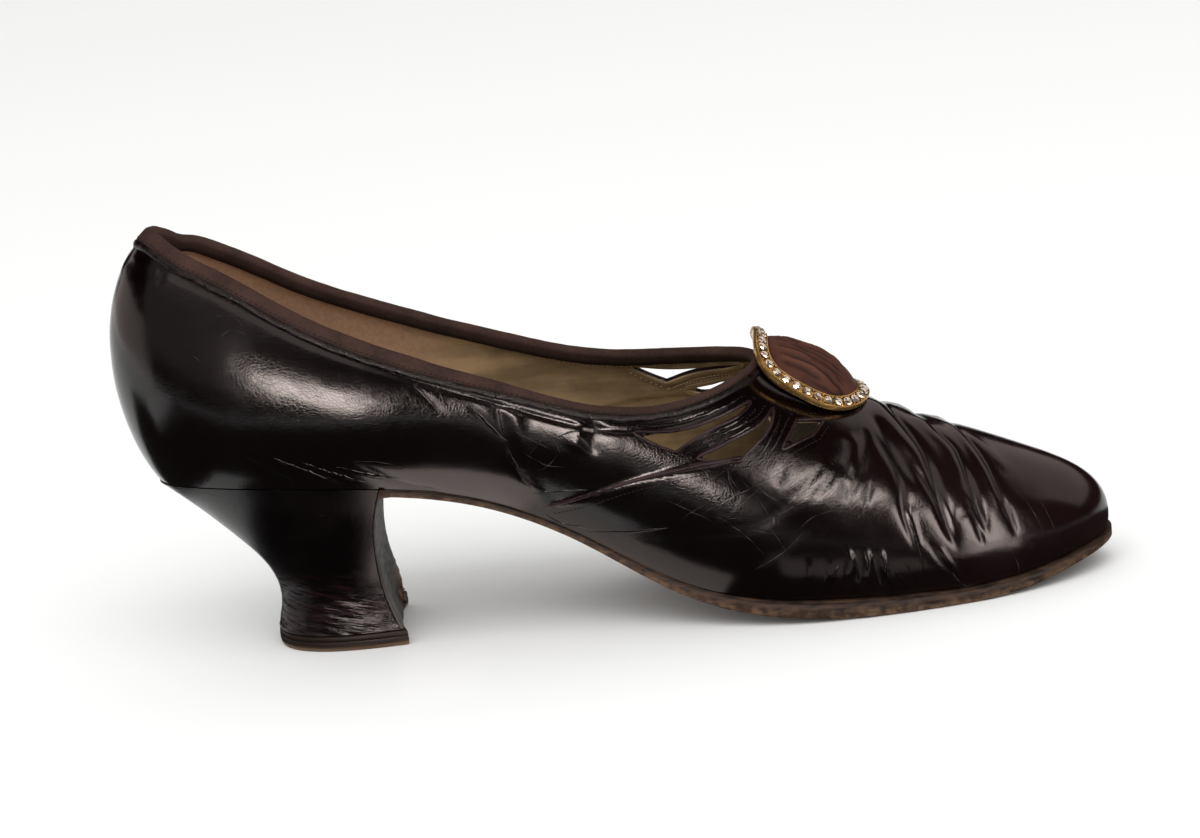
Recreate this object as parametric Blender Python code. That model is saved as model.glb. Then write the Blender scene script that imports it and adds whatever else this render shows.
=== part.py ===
"""A left court shoe with a jewelled buckle, cut-outs beside the throat and a curved, covered heel."""

import math

import bmesh
import bpy
import numpy as np
from mathutils import Vector

MM = 0.001

# Driving sizes, in millimetres: x from the back of the heel to the toe, y from the inner side to the
# outer side, z up from the floor. ORIGIN is the middle of the shoe on the floor.
ORIGIN = (125.9, 2.2, 0.0)
WALL = 1.6
GAP = 0.3
VAMP_COLUMNS = 17
COLLAR_COLUMNS = 19
SECTION_ROWS = 12

# Half sections of the last from the back of the heel round to the toe tip. edge is the seam between
# upper and sole, lean is the angle at which the wall leaves it, low and high are how far the wall
# keeps its direction at the sole and at the ridge.
SECTIONS = (
    ("edge_x", "edge_in", "edge_out", "edge_z", "ridge_x", "lean", "low", "high_in", "high_out"),
    (9.4, 0.0, 0.0, 46.5, 40.0, 56.0, 26.0, 44.5, 44.5),
    (13.0, 12.5, 12.5, 47.2, 42.0, 57.0, 27.0, 34.0, 34.0),
    (24.0, 21.0, 21.0, 47.6, 48.0, 58.0, 29.0, 19.0, 19.0),
    (42.0, 24.8, 25.2, 46.4, 58.0, 58.0, 30.0, 9.0, 9.0),
    (66.0, 24.0, 26.0, 43.8, 70.0, 58.0, 30.0, 6.0, 7.0),
    (90.0, 20.5, 27.0, 38.0, 90.0, 57.0, 30.0, 10.0, 12.0),
    (115.0, 21.5, 30.0, 26.4, 115.0, 58.0, 28.0, 16.0, 20.0),
    (140.0, 26.0, 33.0, 12.2, 140.0, 62.0, 26.0, 21.0, 26.0),
    (165.0, 30.6, 35.2, 6.7, 165.0, 67.0, 22.0, 22.0, 25.0),
    (185.0, 30.3, 34.2, 5.3, 185.0, 70.0, 19.0, 21.5, 24.0),
    (205.0, 27.6, 29.2, 4.4, 203.0, 71.0, 17.0, 20.0, 20.5),
    (224.0, 22.6, 22.6, 5.0, 217.0, 73.0, 14.0, 17.0, 17.0),
    (238.0, 16.0, 16.0, 7.3, 227.5, 75.0, 11.0, 13.0, 13.0),
    (246.5, 8.4, 8.4, 8.8, 234.0, 77.0, 9.5, 10.5, 10.5),
    (249.6, 0.0, 0.0, 9.3, 236.5, 78.0, 9.0, 10.0, 10.0),
)

# Height of the last's top ridge, along the instep and over the closed top of the heel, and the length
# over which the sections start to follow its slope.
RIDGE_SLOPES = (120.0, 160.0)
RIDGE = (
    ("x", "z"),
    (40.0, 119.0),
    (60.0, 112.0),
    (80.0, 101.0),
    (100.0, 90.5),
    (120.0, 81.5),
    (140.0, 73.5),
    (158.0, 65.2),
    (175.0, 56.2),
    (194.0, 46.9),
    (211.0, 39.5),
    (228.0, 32.4),
    (236.0, 28.9),
    (243.0, 25.4),
)

# Where the collar is cut, seen from the side, on the inner and outer quarter.
TOPLINE_WIDTH = 120.0
TOPLINE = (
    ("x", "inner_z", "outer_z"),
    (-12.0, 112.0, 112.0),
    (6.0, 111.5, 111.5),
    (17.0, 109.0, 109.0),
    (25.0, 104.6, 104.8),
    (34.0, 99.6, 99.6),
    (50.0, 89.5, 89.5),
    (67.0, 80.3, 81.5),
    (85.0, 72.2, 74.0),
    (102.0, 65.2, 67.8),
    (117.0, 59.2, 63.4),
    (130.0, 55.9, 62.0),
    (142.0, 55.5, 62.2),
    (152.0, 57.6, 62.5),
    (160.0, 60.2, 62.9),
    (165.0, 62.6, 64.0),
    (171.0, 69.0, 69.0),
)

# Cut-outs beside the throat, as (x, girth down from the ridge), the same on both sides of the foot, and
# how far their cutters reach over and under the wall's outer face.
CUT_OVER = 1.2
CUT_UNDER = 2.6
CUTOUTS = {
    "leaf": (
        (131.0, 37.9),
        (138.2, 36.2),
        (145.8, 32.8),
        (153.4, 27.2),
        (160.4, 20.9),
        (157.6, 25.2),
        (149.8, 31.9),
        (143.9, 37.2),
        (140.6, 40.2),
        (136.0, 39.6),
    ),
    "blade": (
        (146.0, 40.4),
        (152.5, 35.4),
        (158.3, 30.4),
        (163.6, 24.8),
        (165.9, 20.4),
        (164.4, 26.2),
        (159.6, 33.4),
        (156.2, 38.0),
        (151.5, 39.7),
    ),
    "wedge": (
        (169.6, 26.0),
        (171.6, 21.3),
        (178.2, 18.0),
        (175.3, 23.4),
        (167.2, 31.0),
    ),
}

# Edge of the vamp where it laps over the quarter, as (x, girth) from the cut-outs down to the sole. The
# quarter drops by the step there and comes back to the wall's face over the fade.
SEAM = ((143.6, 44.0), (137.1, 47.0), (125.9, 52.7), (118.7, 57.1), (108.0, 64.2))
SEAM_STEP = 0.6
SEAM_FADE = (-5.5, -9.5)

# Ribbon bound over the collar's edge: how far it reaches down each side, and its thickness.
BINDING_LEG = 3.2
BINDING = 0.5
BINDING_SPREAD = 0.35

# Buckle: middle of its band, on a plane sloping with the instep and drooping to both sides.
# The channel, as (width, depth), takes the stones.
BUCKLE_REAR = (165.4, 68.4)
BUCKLE_FRONT = (190.0, 51.6)
BUCKLE_HALF = 15.4
BUCKLE_DROOP = 5.0
BUCKLE_BAND = 3.7
BUCKLE_THICK = 1.8
BUCKLE_CHANNEL = (2.9, 0.8)
TOE_SIDE_SQUARE = 2.5
THROAT_SIDE_SQUARE = 3.4
STONES = 35
STONE = 1.1
STONE_SIDES = 6

# Puffed silk in the buckle: its half sizes along and across the foot, and its heights over the vamp.
RIBBON_HALF = (9.2, 11.6)
RIBBON_BASE = 1.2
RIBBON_CROWN = 6.8
RIBBON_SEAT = 0.6

# Outsole, from the heel breast to the toe: how far its edge stands beyond the last, and its thickness.
SOLE = (
    ("x", "margin", "thick"),
    (66.0, -0.8, 2.2),
    (90.0, -1.0, 2.4),
    (115.0, -0.9, 2.8),
    (140.0, -0.2, 3.7),
    (165.0, 1.0, 4.5),
    (185.0, 1.3, 4.8),
    (205.0, 1.3, 4.5),
    (225.0, 1.3, 4.1),
    (250.0, 1.3, 3.6),
)
SOLE_ROWS = 20
TOE_ROWS = 9
TOE_START = 225.0

# The sole's thin end runs down the heel breast as a flap, through these shares of the heel's height.
FLAP_ROWS = (0.0, 0.1, 0.2, 0.35, 0.5, 0.65, 0.8, 0.9, 0.97)
FLAP_THICK = 1.6
FLAP_WIDTH = 0.985
INSOLE = 2.0
INSOLE_INSET = 2.2

# Heel, from the seat down to the base: rearmost and breast positions and half width at each level.
HEEL = (
    ("drop", "back", "breast", "half"),
    (0.0, 9.2, 66.0, 25.0),
    (0.185, 18.0, 63.8, 22.0),
    (0.37, 25.6, 62.7, 18.2),
    (0.55, 32.2, 62.5, 15.8),
    (0.74, 35.9, 63.3, 15.0),
    (0.88, 35.9, 64.8, 15.6),
    (1.0, 34.8, 66.6, 16.8),
)
HEEL_LEVELS = 15
BREAST_X = 66.0
BREAST_HOLLOW = 2.0
BREAST_FADE = 0.2
TOP_PIECE = 4.0
TOP_PIECE_SWELL = 0.2
HEEL_BASE_Z = TOP_PIECE + GAP

# Colour, roughness and metallic value of each piece, and the angle from which an edge stays sharp.
SHARP_ANGLE = math.radians(40)
FINISHES = {
    "upper": ((0.020, 0.010, 0.011), 0.28, 0.0),
    "outsole": ((0.120, 0.062, 0.034), 0.6, 0.0),
    "heel": ((0.016, 0.010, 0.011), 0.3, 0.0),
    "top_piece": ((0.050, 0.028, 0.020), 0.65, 0.0),
    "insole": ((0.260, 0.225, 0.150), 0.6, 0.0),
    "collar_binding": ((0.075, 0.045, 0.042), 0.75, 0.0),
    "buckle_frame": ((0.640, 0.430, 0.170), 0.32, 1.0),
    "stone": ((0.900, 0.920, 0.950), 0.05, 0.0),
    "ribbon_pad": ((0.078, 0.034, 0.026), 0.5, 0.0),
}


def spline(knots, values, at):
    """Natural cubic spline through values at the rising knots."""
    knots, values = np.asarray(knots, float), np.asarray(values, float)
    gaps = np.diff(knots)
    rises = np.diff(values) / gaps
    count = len(knots)
    matrix, right = np.eye(count), np.zeros(count)
    for i in range(1, count - 1):
        matrix[i, i - 1 : i + 2] = gaps[i - 1], 2 * (gaps[i - 1] + gaps[i]), gaps[i]
        right[i] = 6 * (rises[i] - rises[i - 1])
    bends = np.linalg.solve(matrix, right)
    at = np.asarray(at, float)
    i = np.clip(np.searchsorted(knots, at) - 1, 0, count - 2)
    gap, ahead, behind = gaps[i], knots[i + 1] - at, at - knots[i]
    return (
        (bends[i] * ahead**3 + bends[i + 1] * behind**3) / (6 * gap)
        + (values[i] / gap - bends[i] * gap / 6) * ahead
        + (values[i + 1] / gap - bends[i + 1] * gap / 6) * behind
    )


def read(table, name, at):
    """A named column of a table, read smoothly against its first column."""
    place = table[0].index(name)
    return spline([row[0] for row in table[1:]], [row[place] for row in table[1:]], at)


def ridge_height(x):
    return read(RIDGE, "z", x)


def topline_height(x, y):
    """Height of the collar's cut, passing from the inner to the outer quarter's line across the foot."""
    inner, outer = read(TOPLINE, "inner_z", x), read(TOPLINE, "outer_z", x)
    return inner + (outer - inner) * (0.5 + y / TOPLINE_WIDTH)


class Last:
    """The last's surface: stations 0 and 1 at the toe tip, inner side first, v from sole edge to ridge."""

    def __init__(self):
        rows = SECTIONS[1:]
        table = {name: [row[i] for row in rows] for i, name in enumerate(SECTIONS[0])}
        inner, outer = slice(None, 0, -1), slice(None)

        def ring(first, second):
            return np.array(list(table[first][inner]) + list(table[second][outer]))

        signs = [-1.0] * (len(rows) - 1) + [1.0] * len(rows)
        self.edge_x = ring("edge_x", "edge_x")
        self.edge_y = ring("edge_in", "edge_out") * signs
        steps = np.hypot(np.diff(self.edge_x), np.diff(self.edge_y)) ** 0.5
        self.knots = np.concatenate([[0.0], np.cumsum(steps)]) / steps.sum()
        self.heel_station = self.knots[len(rows) - 1]
        self.heel_x, self.toe_x = self.edge_x.min(), self.edge_x.max()
        self.columns = {
            "edge_x": self.edge_x,
            "edge_y": self.edge_y,
            "edge_z": ring("edge_z", "edge_z"),
            "ridge_x": ring("ridge_x", "ridge_x"),
            "lean": np.radians(ring("lean", "lean")),
            "low": ring("low", "low"),
            "high": ring("high_in", "high_out"),
        }

    def column(self, name, at):
        """A column of the table at any station, carried smoothly round the toe."""
        knots, values = self.knots, self.columns[name]
        wrap = 4
        knots = np.concatenate([knots[-1 - wrap : -1] - 1, knots, knots[1 : wrap + 1] + 1])
        values = np.concatenate([values[-1 - wrap : -1], values, values[1 : wrap + 1]])
        return spline(knots, values, np.mod(at, 1.0))

    def poles(self, at):
        """The four poles of each half section's curve."""
        at = np.asarray(at, float)
        edge = np.stack([self.column(name, at) for name in ("edge_x", "edge_y", "edge_z")], -1)
        ridge_x = self.column("ridge_x", at)
        ridge = np.stack([ridge_x, 0 * ridge_x, ridge_height(ridge_x)], -1)
        across = (edge - ridge) * (1, 1, 0)
        across /= np.linalg.norm(across, axis=-1, keepdims=True)
        start, full = RIDGE_SLOPES
        slope = ridge_height(ridge_x + 0.5) - ridge_height(ridge_x - 0.5)
        slope *= np.clip((ridge_x - start) / (full - start), 0, 1)
        along_top = across + np.stack([0 * slope, 0 * slope, across[..., 0] * slope], -1)
        lean, low = self.column("lean", at)[..., None], self.column("low", at)[..., None]
        up = np.array((0.0, 0.0, 1.0))
        return (
            edge,
            edge + low * (across * np.cos(lean) + up * np.sin(lean)),
            ridge + self.column("high", at)[..., None] * along_top,
            ridge,
        )

    def surface(self, at, v):
        """Points of the outer surface for arrays of stations and heights of one shape."""
        edge, low, high, ridge = self.poles(at)
        v = np.asarray(v, float)[..., None]
        u = 1 - v
        return u**3 * edge + 3 * u**2 * v * low + 3 * u * v**2 * high + v**3 * ridge

    def columns_round(self):
        """Stations of the closed vamp's columns, inner and outer ones ending at the same ridge points, and
        of the open collar's columns from the inner end of the throat round the heel to the outer end."""
        inner, outer = self.throat(-1), self.throat(1)
        front = np.linspace(0, inner, VAMP_COLUMNS + 1)
        along = np.linspace(outer, 1, 1000)
        lengths = self.column("ridge_x", np.minimum(along, 1 - 1e-9))
        front_outer = np.interp(self.column("ridge_x", front), lengths, along)
        near = np.array((0.012, 0.05, 0.12, 0.22, 0.36, 0.55, 0.78)) * 0.03
        back_inner = np.linspace(inner + 0.03, self.heel_station, COLLAR_COLUMNS)
        back_outer = np.linspace(self.heel_station, outer - 0.03, COLLAR_COLUMNS)
        ends = [inner], inner + near, outer - near[::-1], [outer]
        collar = np.concatenate([*ends[:2], back_inner, back_outer[1:], *ends[2:]])
        return front, front_outer, collar

    def normal(self, at, v):
        """Outward unit normal of the surface."""
        step = 1e-4
        low, high = np.maximum(np.asarray(v) - step, 0), np.minimum(np.asarray(v) + step, 1)
        along = self.surface(at + step, v) - self.surface(at - step, v)
        up = self.surface(at, high) - self.surface(at, low)
        normal = np.cross(up, along)
        return normal / np.linalg.norm(normal, axis=-1, keepdims=True)

    def girth_point(self, side, x, girth):
        """The point and normal at a girth down from the ridge, in the section at a length."""
        at = self.station(side, x)
        v = np.linspace(0, 1, 241)
        line = self.surface(np.full(v.shape, at), v)
        steps = np.linalg.norm(np.diff(line, axis=0), axis=1)
        girths = np.concatenate([np.cumsum(steps[::-1])[::-1], [0.0]])
        height = np.interp(girth, girths[::-1], v[::-1])
        return self.surface(at, height), self.normal(at, height)

    def topline(self, at):
        """Height on the section where the collar is cut, or 1 where the section runs closed to the ridge."""
        low, high = 0.02, 1.0
        for _ in range(40):
            middle = (low + high) / 2
            point = self.surface(at, middle)
            if point[2] < topline_height(point[0], point[1]):
                low = middle
            else:
                high = middle
        return (low + high) / 2

    def throat(self, side):
        """The station where the collar's cut meets the ridge."""
        low, high = 130.0, 190.0
        for _ in range(40):
            middle = (low + high) / 2
            point = self.surface(self.station(side, middle), 1.0)
            if point[2] > topline_height(point[0], point[1]):
                low = middle
            else:
                high = middle
        return self.station(side, low)

    def edge(self, at):
        return np.array([float(self.column(name, at)) for name in ("edge_x", "edge_y", "edge_z")])

    def outward(self, at):
        """Level direction away from the last at a point of its edge."""
        ahead, behind = self.edge(at + 1e-4), self.edge(at - 1e-4)
        run = ahead - behind
        level = np.array((run[1], -run[0], 0.0))
        return -level / np.linalg.norm(level)

    def station(self, side, x):
        """The station of an edge point on the inner (-1) or outer (1) side."""
        heel = self.heel_station
        along = np.linspace(0, heel, 600) if side < 0 else np.linspace(heel, 1, 600)
        lengths = self.column("edge_x", np.clip(along, 0, 1 - 1e-9))
        if side < 0:
            along, lengths = along[::-1], lengths[::-1]
        return float(np.interp(x, lengths, along))


def clear_scene():
    for obj in list(bpy.data.objects):
        bpy.data.objects.remove(obj)


def add_mesh(name, points, faces, weld=0.001):
    """An object with its points merged where they meet and every face turned outwards."""
    mesh = bpy.data.meshes.new(name)
    mesh.from_pydata([(Vector(p) - Vector(ORIGIN)) * MM for p in points], [], faces)
    shape = bmesh.new()
    shape.from_mesh(mesh)
    bmesh.ops.remove_doubles(shape, verts=shape.verts, dist=weld * MM)
    bmesh.ops.recalc_face_normals(shape, faces=shape.faces)
    shape.to_mesh(mesh)
    shape.free()
    obj = bpy.data.objects.new(name, mesh)
    bpy.context.collection.objects.link(obj)
    return obj


def add_cutter(name, points, faces):
    """A closed block that only cuts another piece."""
    obj = add_mesh(name, points, faces)
    obj.hide_render = True
    obj.display_type = "WIRE"
    return obj


def finish(obj, kind):
    """The piece's own material, and smooth shading with its corners kept."""
    colour, roughness, metallic = FINISHES[kind]
    material = bpy.data.materials.new(obj.name)
    material.use_nodes = True
    shader = material.node_tree.nodes["Principled BSDF"]
    shader.inputs["Base Color"].default_value = (*colour, 1.0)
    shader.inputs["Roughness"].default_value = roughness
    shader.inputs["Metallic"].default_value = metallic
    obj.data.materials.append(material)
    obj.data.shade_smooth()
    obj.data.set_sharp_from_angle(angle=SHARP_ANGLE)
    return obj


def loft(name, rings, closed=False):
    """A solid through rings of equal length; its ends are closed by strips from side to side."""
    count = len(rings[0])
    points = [p for ring in rings for p in ring]
    faces = []
    last_ring = len(rings) if closed else len(rings) - 1
    for i in range(last_ring):
        a, b = i * count, ((i + 1) % len(rings)) * count
        for j in range(count):
            k = (j + 1) % count
            faces.append((a + j, a + k, b + k, b + j))
    if not closed:
        for start in (0, (len(rings) - 1) * count):
            for j in range(count // 2):
                across = (count - j - 1) % count, (count - j) % count
                strip = [start + j, start + j + 1, start + across[0], start + across[1]]
                faces.append(tuple(dict.fromkeys(strip)))
    return add_mesh(name, points, faces)


def sole_row(last, x, margin):
    """The two edge points of the last at a length, moved outwards by a margin."""
    sides = []
    for side in (-1, 1):
        at = last.station(side, x)
        sides.append(last.edge(at) + margin * last.outward(at))
    return sides


def make_outsole(last):
    """The sole from its toe back to the breast, flat where it treads, and its flap down the heel breast."""
    rings = []
    across = np.linspace(0, 1, 5)
    straight = np.linspace(BREAST_X + 4, TOE_START, SOLE_ROWS)
    lengths = np.concatenate([straight, crowded(last.toe_x - 0.1, TOE_START, TOE_ROWS + 1)[1:]])
    for x in lengths[::-1]:
        inner, outer = sole_row(last, x, read(SOLE, "margin", x))
        top = np.array([inner + (outer - inner) * f for f in across]) - (0, 0, GAP)
        under = top - (0, 0, read(SOLE, "thick", x))
        under[:, 2] = np.maximum(under[:, 2], 0.0)
        rings.append(np.concatenate([top, under[::-1]]))
    seat_z = last.edge(last.station(-1, BREAST_X))[2] - GAP
    for f in FLAP_ROWS:
        half, front = float(read(HEEL, "half", f)), float(read(HEEL, "breast", f))
        y = np.linspace(-half, half, 5) * FLAP_WIDTH
        x = front + GAP - BREAST_HOLLOW * (1 - (y / half) ** 2) * min(1, f / BREAST_FADE)
        back = np.stack([x, y, 0 * y + seat_z + (HEEL_BASE_Z - seat_z) * f], -1)
        drop = read(SOLE, "thick", BREAST_X) if f == 0 else 0.0
        rings.append(np.concatenate([back, back[::-1] + (FLAP_THICK, 0, -drop)]))
    return finish(loft("outsole", rings), "outsole")


def crowded(tip, start, count):
    """Lengths from a start to a round tip, closer together towards the tip."""
    return tip + (start - tip) * np.linspace(1, 0.02, count) ** 2


def heel_ring(last, f):
    """One level of the heel: 0 is the seat and 1 the base."""
    sweep = np.linspace(0, 1, 12)
    rear = last.edge(last.heel_station)
    back, front, half = (float(read(HEEL, name, f)) for name in ("back", "breast", "half"))
    seat_half = float(read(HEEL, "half", 0))
    inner, outer = [], []
    for side, line in ((-1, inner), (1, outer)):
        start, end = last.heel_station, last.station(side, BREAST_X)
        for s in sweep:
            edge = last.edge(start + (end - start) * s)
            along = (edge[0] - rear[0]) / (BREAST_X - rear[0])
            wide = edge[1] / seat_half
            seat_z = edge[2] - GAP
            x = back + along * (front - back)
            line.append((x, wide * half, seat_z + (HEEL_BASE_Z - seat_z) * f))
    fade = min(1, f / BREAST_FADE)
    breast = []
    for y in (-0.5, 0, 0.5):
        z = inner[-1][2]
        breast.append((front - BREAST_HOLLOW * (1 - y * y) * fade, y * (outer[-1][1] - inner[-1][1]), z))
    ring = inner + breast + outer[:0:-1]
    return np.array(ring)


def make_heel(last):
    return finish(loft("heel", [heel_ring(last, f) for f in np.linspace(0, 1, HEEL_LEVELS)]), "heel")


def make_top_piece(last):
    """The heel's wearing piece, swollen a little at half its height, carried forward under the flap's end."""
    base = heel_ring(last, 1.0)
    middle = base[:, :2].mean(axis=0)
    rear, front = base[:, 0].min(), base[:, 0].max() - BREAST_HOLLOW
    rings = []
    for z, swell in ((TOP_PIECE, 0.0), (TOP_PIECE / 2, TOP_PIECE_SWELL), (0.0, 0.0)):
        ring = base.copy()
        away = ring[:, :2] - middle
        ring[:, :2] += swell * away / np.linalg.norm(away, axis=1, keepdims=True)
        ring[:, 0] += (GAP + FLAP_THICK) * np.clip((ring[:, 0] - rear) / (front - rear), 0, 1) ** 4
        ring[:, 2] = z
        rings.append(ring)
    return finish(loft("top_piece", rings), "top_piece")


def make_insole(last):
    rings = []
    rear, waist, front, tip = last.heel_x, 35.0, TOE_START, last.toe_x - 0.1
    straight = np.linspace(waist, front, 18)[1:-1]
    for x in np.concatenate([crowded(rear, waist, 8)[::-1], straight, crowded(tip, front, 8)]):
        inner, outer = sole_row(last, x, -INSOLE_INSET)
        if outer[1] - inner[1] < 0.5:
            continue
        top = np.array([inner + (outer - inner) * f for f in (0, 0.5, 1)]) + (0, 0, INSOLE + GAP)
        rings.append(np.concatenate([top, top[::-1] - (0, 0, INSOLE)]))
    return finish(loft("insole", rings), "insole")


def prism(name, first, second):
    """A closed block between two outlines of equal length."""
    count = len(first)
    faces = [tuple(range(count)), tuple(range(count, 2 * count))]
    for j in range(count):
        k = (j + 1) % count
        faces.append((j, k, count + k, count + j))
    return add_cutter(name, list(first) + list(second), faces)


def cutout_cutters(last):
    cutters = []
    for side, label in ((-1, "inner"), (1, "outer")):
        for name, outline in CUTOUTS.items():
            over, under = [], []
            for x, girth in outline:
                point, normal = last.girth_point(side, x, girth)
                over.append(point + CUT_OVER * normal)
                under.append(point - CUT_UNDER * normal)
            cutters.append(prism("cut_%s_%s" % (name, label), over, under))
    return cutters


def seam_cutter(last, side):
    """A thin wedge taken off the quarter so that the vamp's edge stands proud of it."""
    rings = []
    for x, girth in SEAM:
        ring = []
        fade_x, fade_girth = SEAM_FADE
        low = (0, -SEAM_STEP), (0.5, -0.5 * SEAM_STEP), (1, 0.1)
        high = (1, 0.8), (0.5, 0.8)
        for share, depth in ((0, 0.8), *low, *high):
            point, normal = last.girth_point(side, x + share * fade_x, girth + share * fade_girth)
            ring.append(point + depth * normal)
        rings.append(ring)
    return add_cutter("cut_seam_%s" % ("inner" if side < 0 else "outer"), *loft_mesh(rings))


def loft_mesh(rings):
    """Points and faces through rings of equal length, with flat ends."""
    count = len(rings[0])
    points = [p for ring in rings for p in ring]
    faces = [tuple(range(count)), tuple(range(len(points) - count, len(points)))]
    for i in range(len(rings) - 1):
        for j in range(count):
            k = (j + 1) % count
            faces.append((i * count + j, i * count + k, (i + 1) * count + k, (i + 1) * count + j))
    return points, faces


def make_upper(last):
    front, front_outer, collar = last.columns_round()
    stations = np.concatenate([front[:-1], collar, front_outer[:0:-1][1:]])
    tops = [1.0] * (len(front) - 1) + [last.topline(at) for at in collar] + [1.0] * (len(front) - 2)
    tops[len(front) - 1] = tops[len(front) + len(collar) - 2] = 1.0
    count, rows = len(stations), SECTION_ROWS + 1
    at, v = stations[:, None] * np.ones(rows), np.array(tops)[:, None] * np.linspace(0, 1, rows)
    points = last.surface(at, v).reshape(-1, 3)
    faces = []
    for i in range(count):
        for j in range(SECTION_ROWS):
            a, b = i * rows + j, ((i + 1) % count) * rows + j
            faces.append((a, b, b + 1, a + 1))
    upper = finish(add_mesh("upper", points, faces, weld=0.02), "upper")
    wall = upper.modifiers.new("wall", "SOLIDIFY")
    wall.thickness = WALL * MM
    wall.offset = -1.0
    wall.use_even_offset = True
    for block in [seam_cutter(last, side) for side in (-1, 1)] + cutout_cutters(last):
        cut = upper.modifiers.new(block.name, "BOOLEAN")
        cut.operation = "DIFFERENCE"
        cut.solver = "EXACT"
        cut.object = block
    weld = upper.modifiers.new("weld", "WELD")
    weld.merge_threshold = 0.00004
    return upper


def topline_loop(last):
    """Points round the collar with the wall's outward normal and the direction into the opening."""
    stations = last.columns_round()[2][:-1]
    heights = [last.topline(at) for at in stations]
    points = np.array([last.surface(at, v) for at, v in zip(stations, heights)])
    normals = np.array([last.normal(at, min(v, 0.999)) for at, v in zip(stations, heights)])
    points[0, 1] = 0.0
    run = np.roll(points, -1, axis=0) - np.roll(points, 1, axis=0)
    into = np.cross(normals, run)
    into /= np.linalg.norm(into, axis=1, keepdims=True)
    centre = points.mean(axis=0)
    flip = np.sign(np.einsum("ij,ij->i", into, centre - points + np.array((0, 0, 30.0))))
    return points, normals, into * flip[:, None]


def make_binding(last):
    inside, leg, thick = -(WALL + GAP), -BINDING_LEG, BINDING
    profile = (
        (GAP, leg),
        (GAP, GAP),
        (inside, GAP),
        (inside - BINDING_SPREAD, leg),
        (inside - BINDING_SPREAD - thick, leg),
        (inside - thick, GAP + thick),
        (GAP + thick, GAP + thick),
        (GAP + thick, leg),
    )
    rings = []
    for point, normal, into in zip(*topline_loop(last)):
        rings.append([point + out * normal + up * into for out, up in profile])
    return finish(loft("collar_binding", rings, closed=True), "collar_binding")


def buckle_frame_at(turn):
    """Middle of the band, its outward side direction and its face normal, at a turn of 0 to 1."""

    def place(angle):
        square = TOE_SIDE_SQUARE if math.cos(angle) > 0 else THROAT_SIDE_SQUARE
        c, s = math.cos(angle), math.sin(angle)
        p = math.copysign(abs(c) ** (2 / square), c)
        q = math.copysign(abs(s) ** (2 / square), s)
        rear, front = np.array(BUCKLE_REAR), np.array(BUCKLE_FRONT)
        slope = (front - rear) / np.linalg.norm(front - rear)
        x, z = (rear + front) / 2 + slope * p * np.linalg.norm(front - rear) / 2
        lift = -BUCKLE_DROOP * q * q
        return np.array((x - slope[1] * lift, q * BUCKLE_HALF, z + slope[0] * lift)), slope, q

    angle = 2 * math.pi * turn
    point, slope, q = place(angle)
    run = place(angle + 0.01)[0] - place(angle - 0.01)[0]
    run /= np.linalg.norm(run)
    tilt = math.atan(2 * BUCKLE_DROOP * q / BUCKLE_HALF)
    face = np.array((-slope[1] * math.cos(tilt), math.sin(tilt), slope[0] * math.cos(tilt)))
    side = np.cross(run, face)
    side /= np.linalg.norm(side)
    return point, side, np.cross(side, run)


def buckle_turns(count):
    """Turns evenly spaced along the band."""
    turns = np.linspace(0, 1, 721)
    points = np.array([buckle_frame_at(t)[0] for t in turns])
    lengths = np.concatenate([[0.0], np.cumsum(np.linalg.norm(np.diff(points, axis=0), axis=1))])
    return np.interp(np.arange(count) / count * lengths[-1], lengths, turns)


def make_buckle():
    half, thick = BUCKLE_BAND / 2, BUCKLE_THICK
    wide, deep = BUCKLE_CHANNEL[0] / 2, BUCKLE_CHANNEL[1]
    profile = (
        (half, -thick),
        (half, 0),
        (wide, 0),
        (wide, -deep),
        (-wide, -deep),
        (-wide, 0),
        (-half, 0),
        (-half, -thick),
    )
    rings = []
    for turn in buckle_turns(2 * STONES):
        point, side, face = buckle_frame_at(turn)
        rings.append([point + a * side + b * face for a, b in profile])
    finish(loft("buckle_frame", rings, closed=True), "buckle_frame")
    for i, turn in enumerate(buckle_turns(2 * STONES)[1::2]):
        point, side, face = buckle_frame_at(turn)
        run = np.cross(face, side)
        rings = []
        for share, level in ((0.8, GAP - deep), (1.0, GAP - 0.4), (0.55, GAP + 0.3)):
            ring = []
            for t in np.arange(STONE_SIDES) * 2 * math.pi / STONE_SIDES:
                ring.append(point + STONE * share * (math.cos(t) * side + math.sin(t) * run) + level * face)
            rings.append(ring)
        finish(loft("stone_%02d" % (i + 1), rings), "stone")


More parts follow.
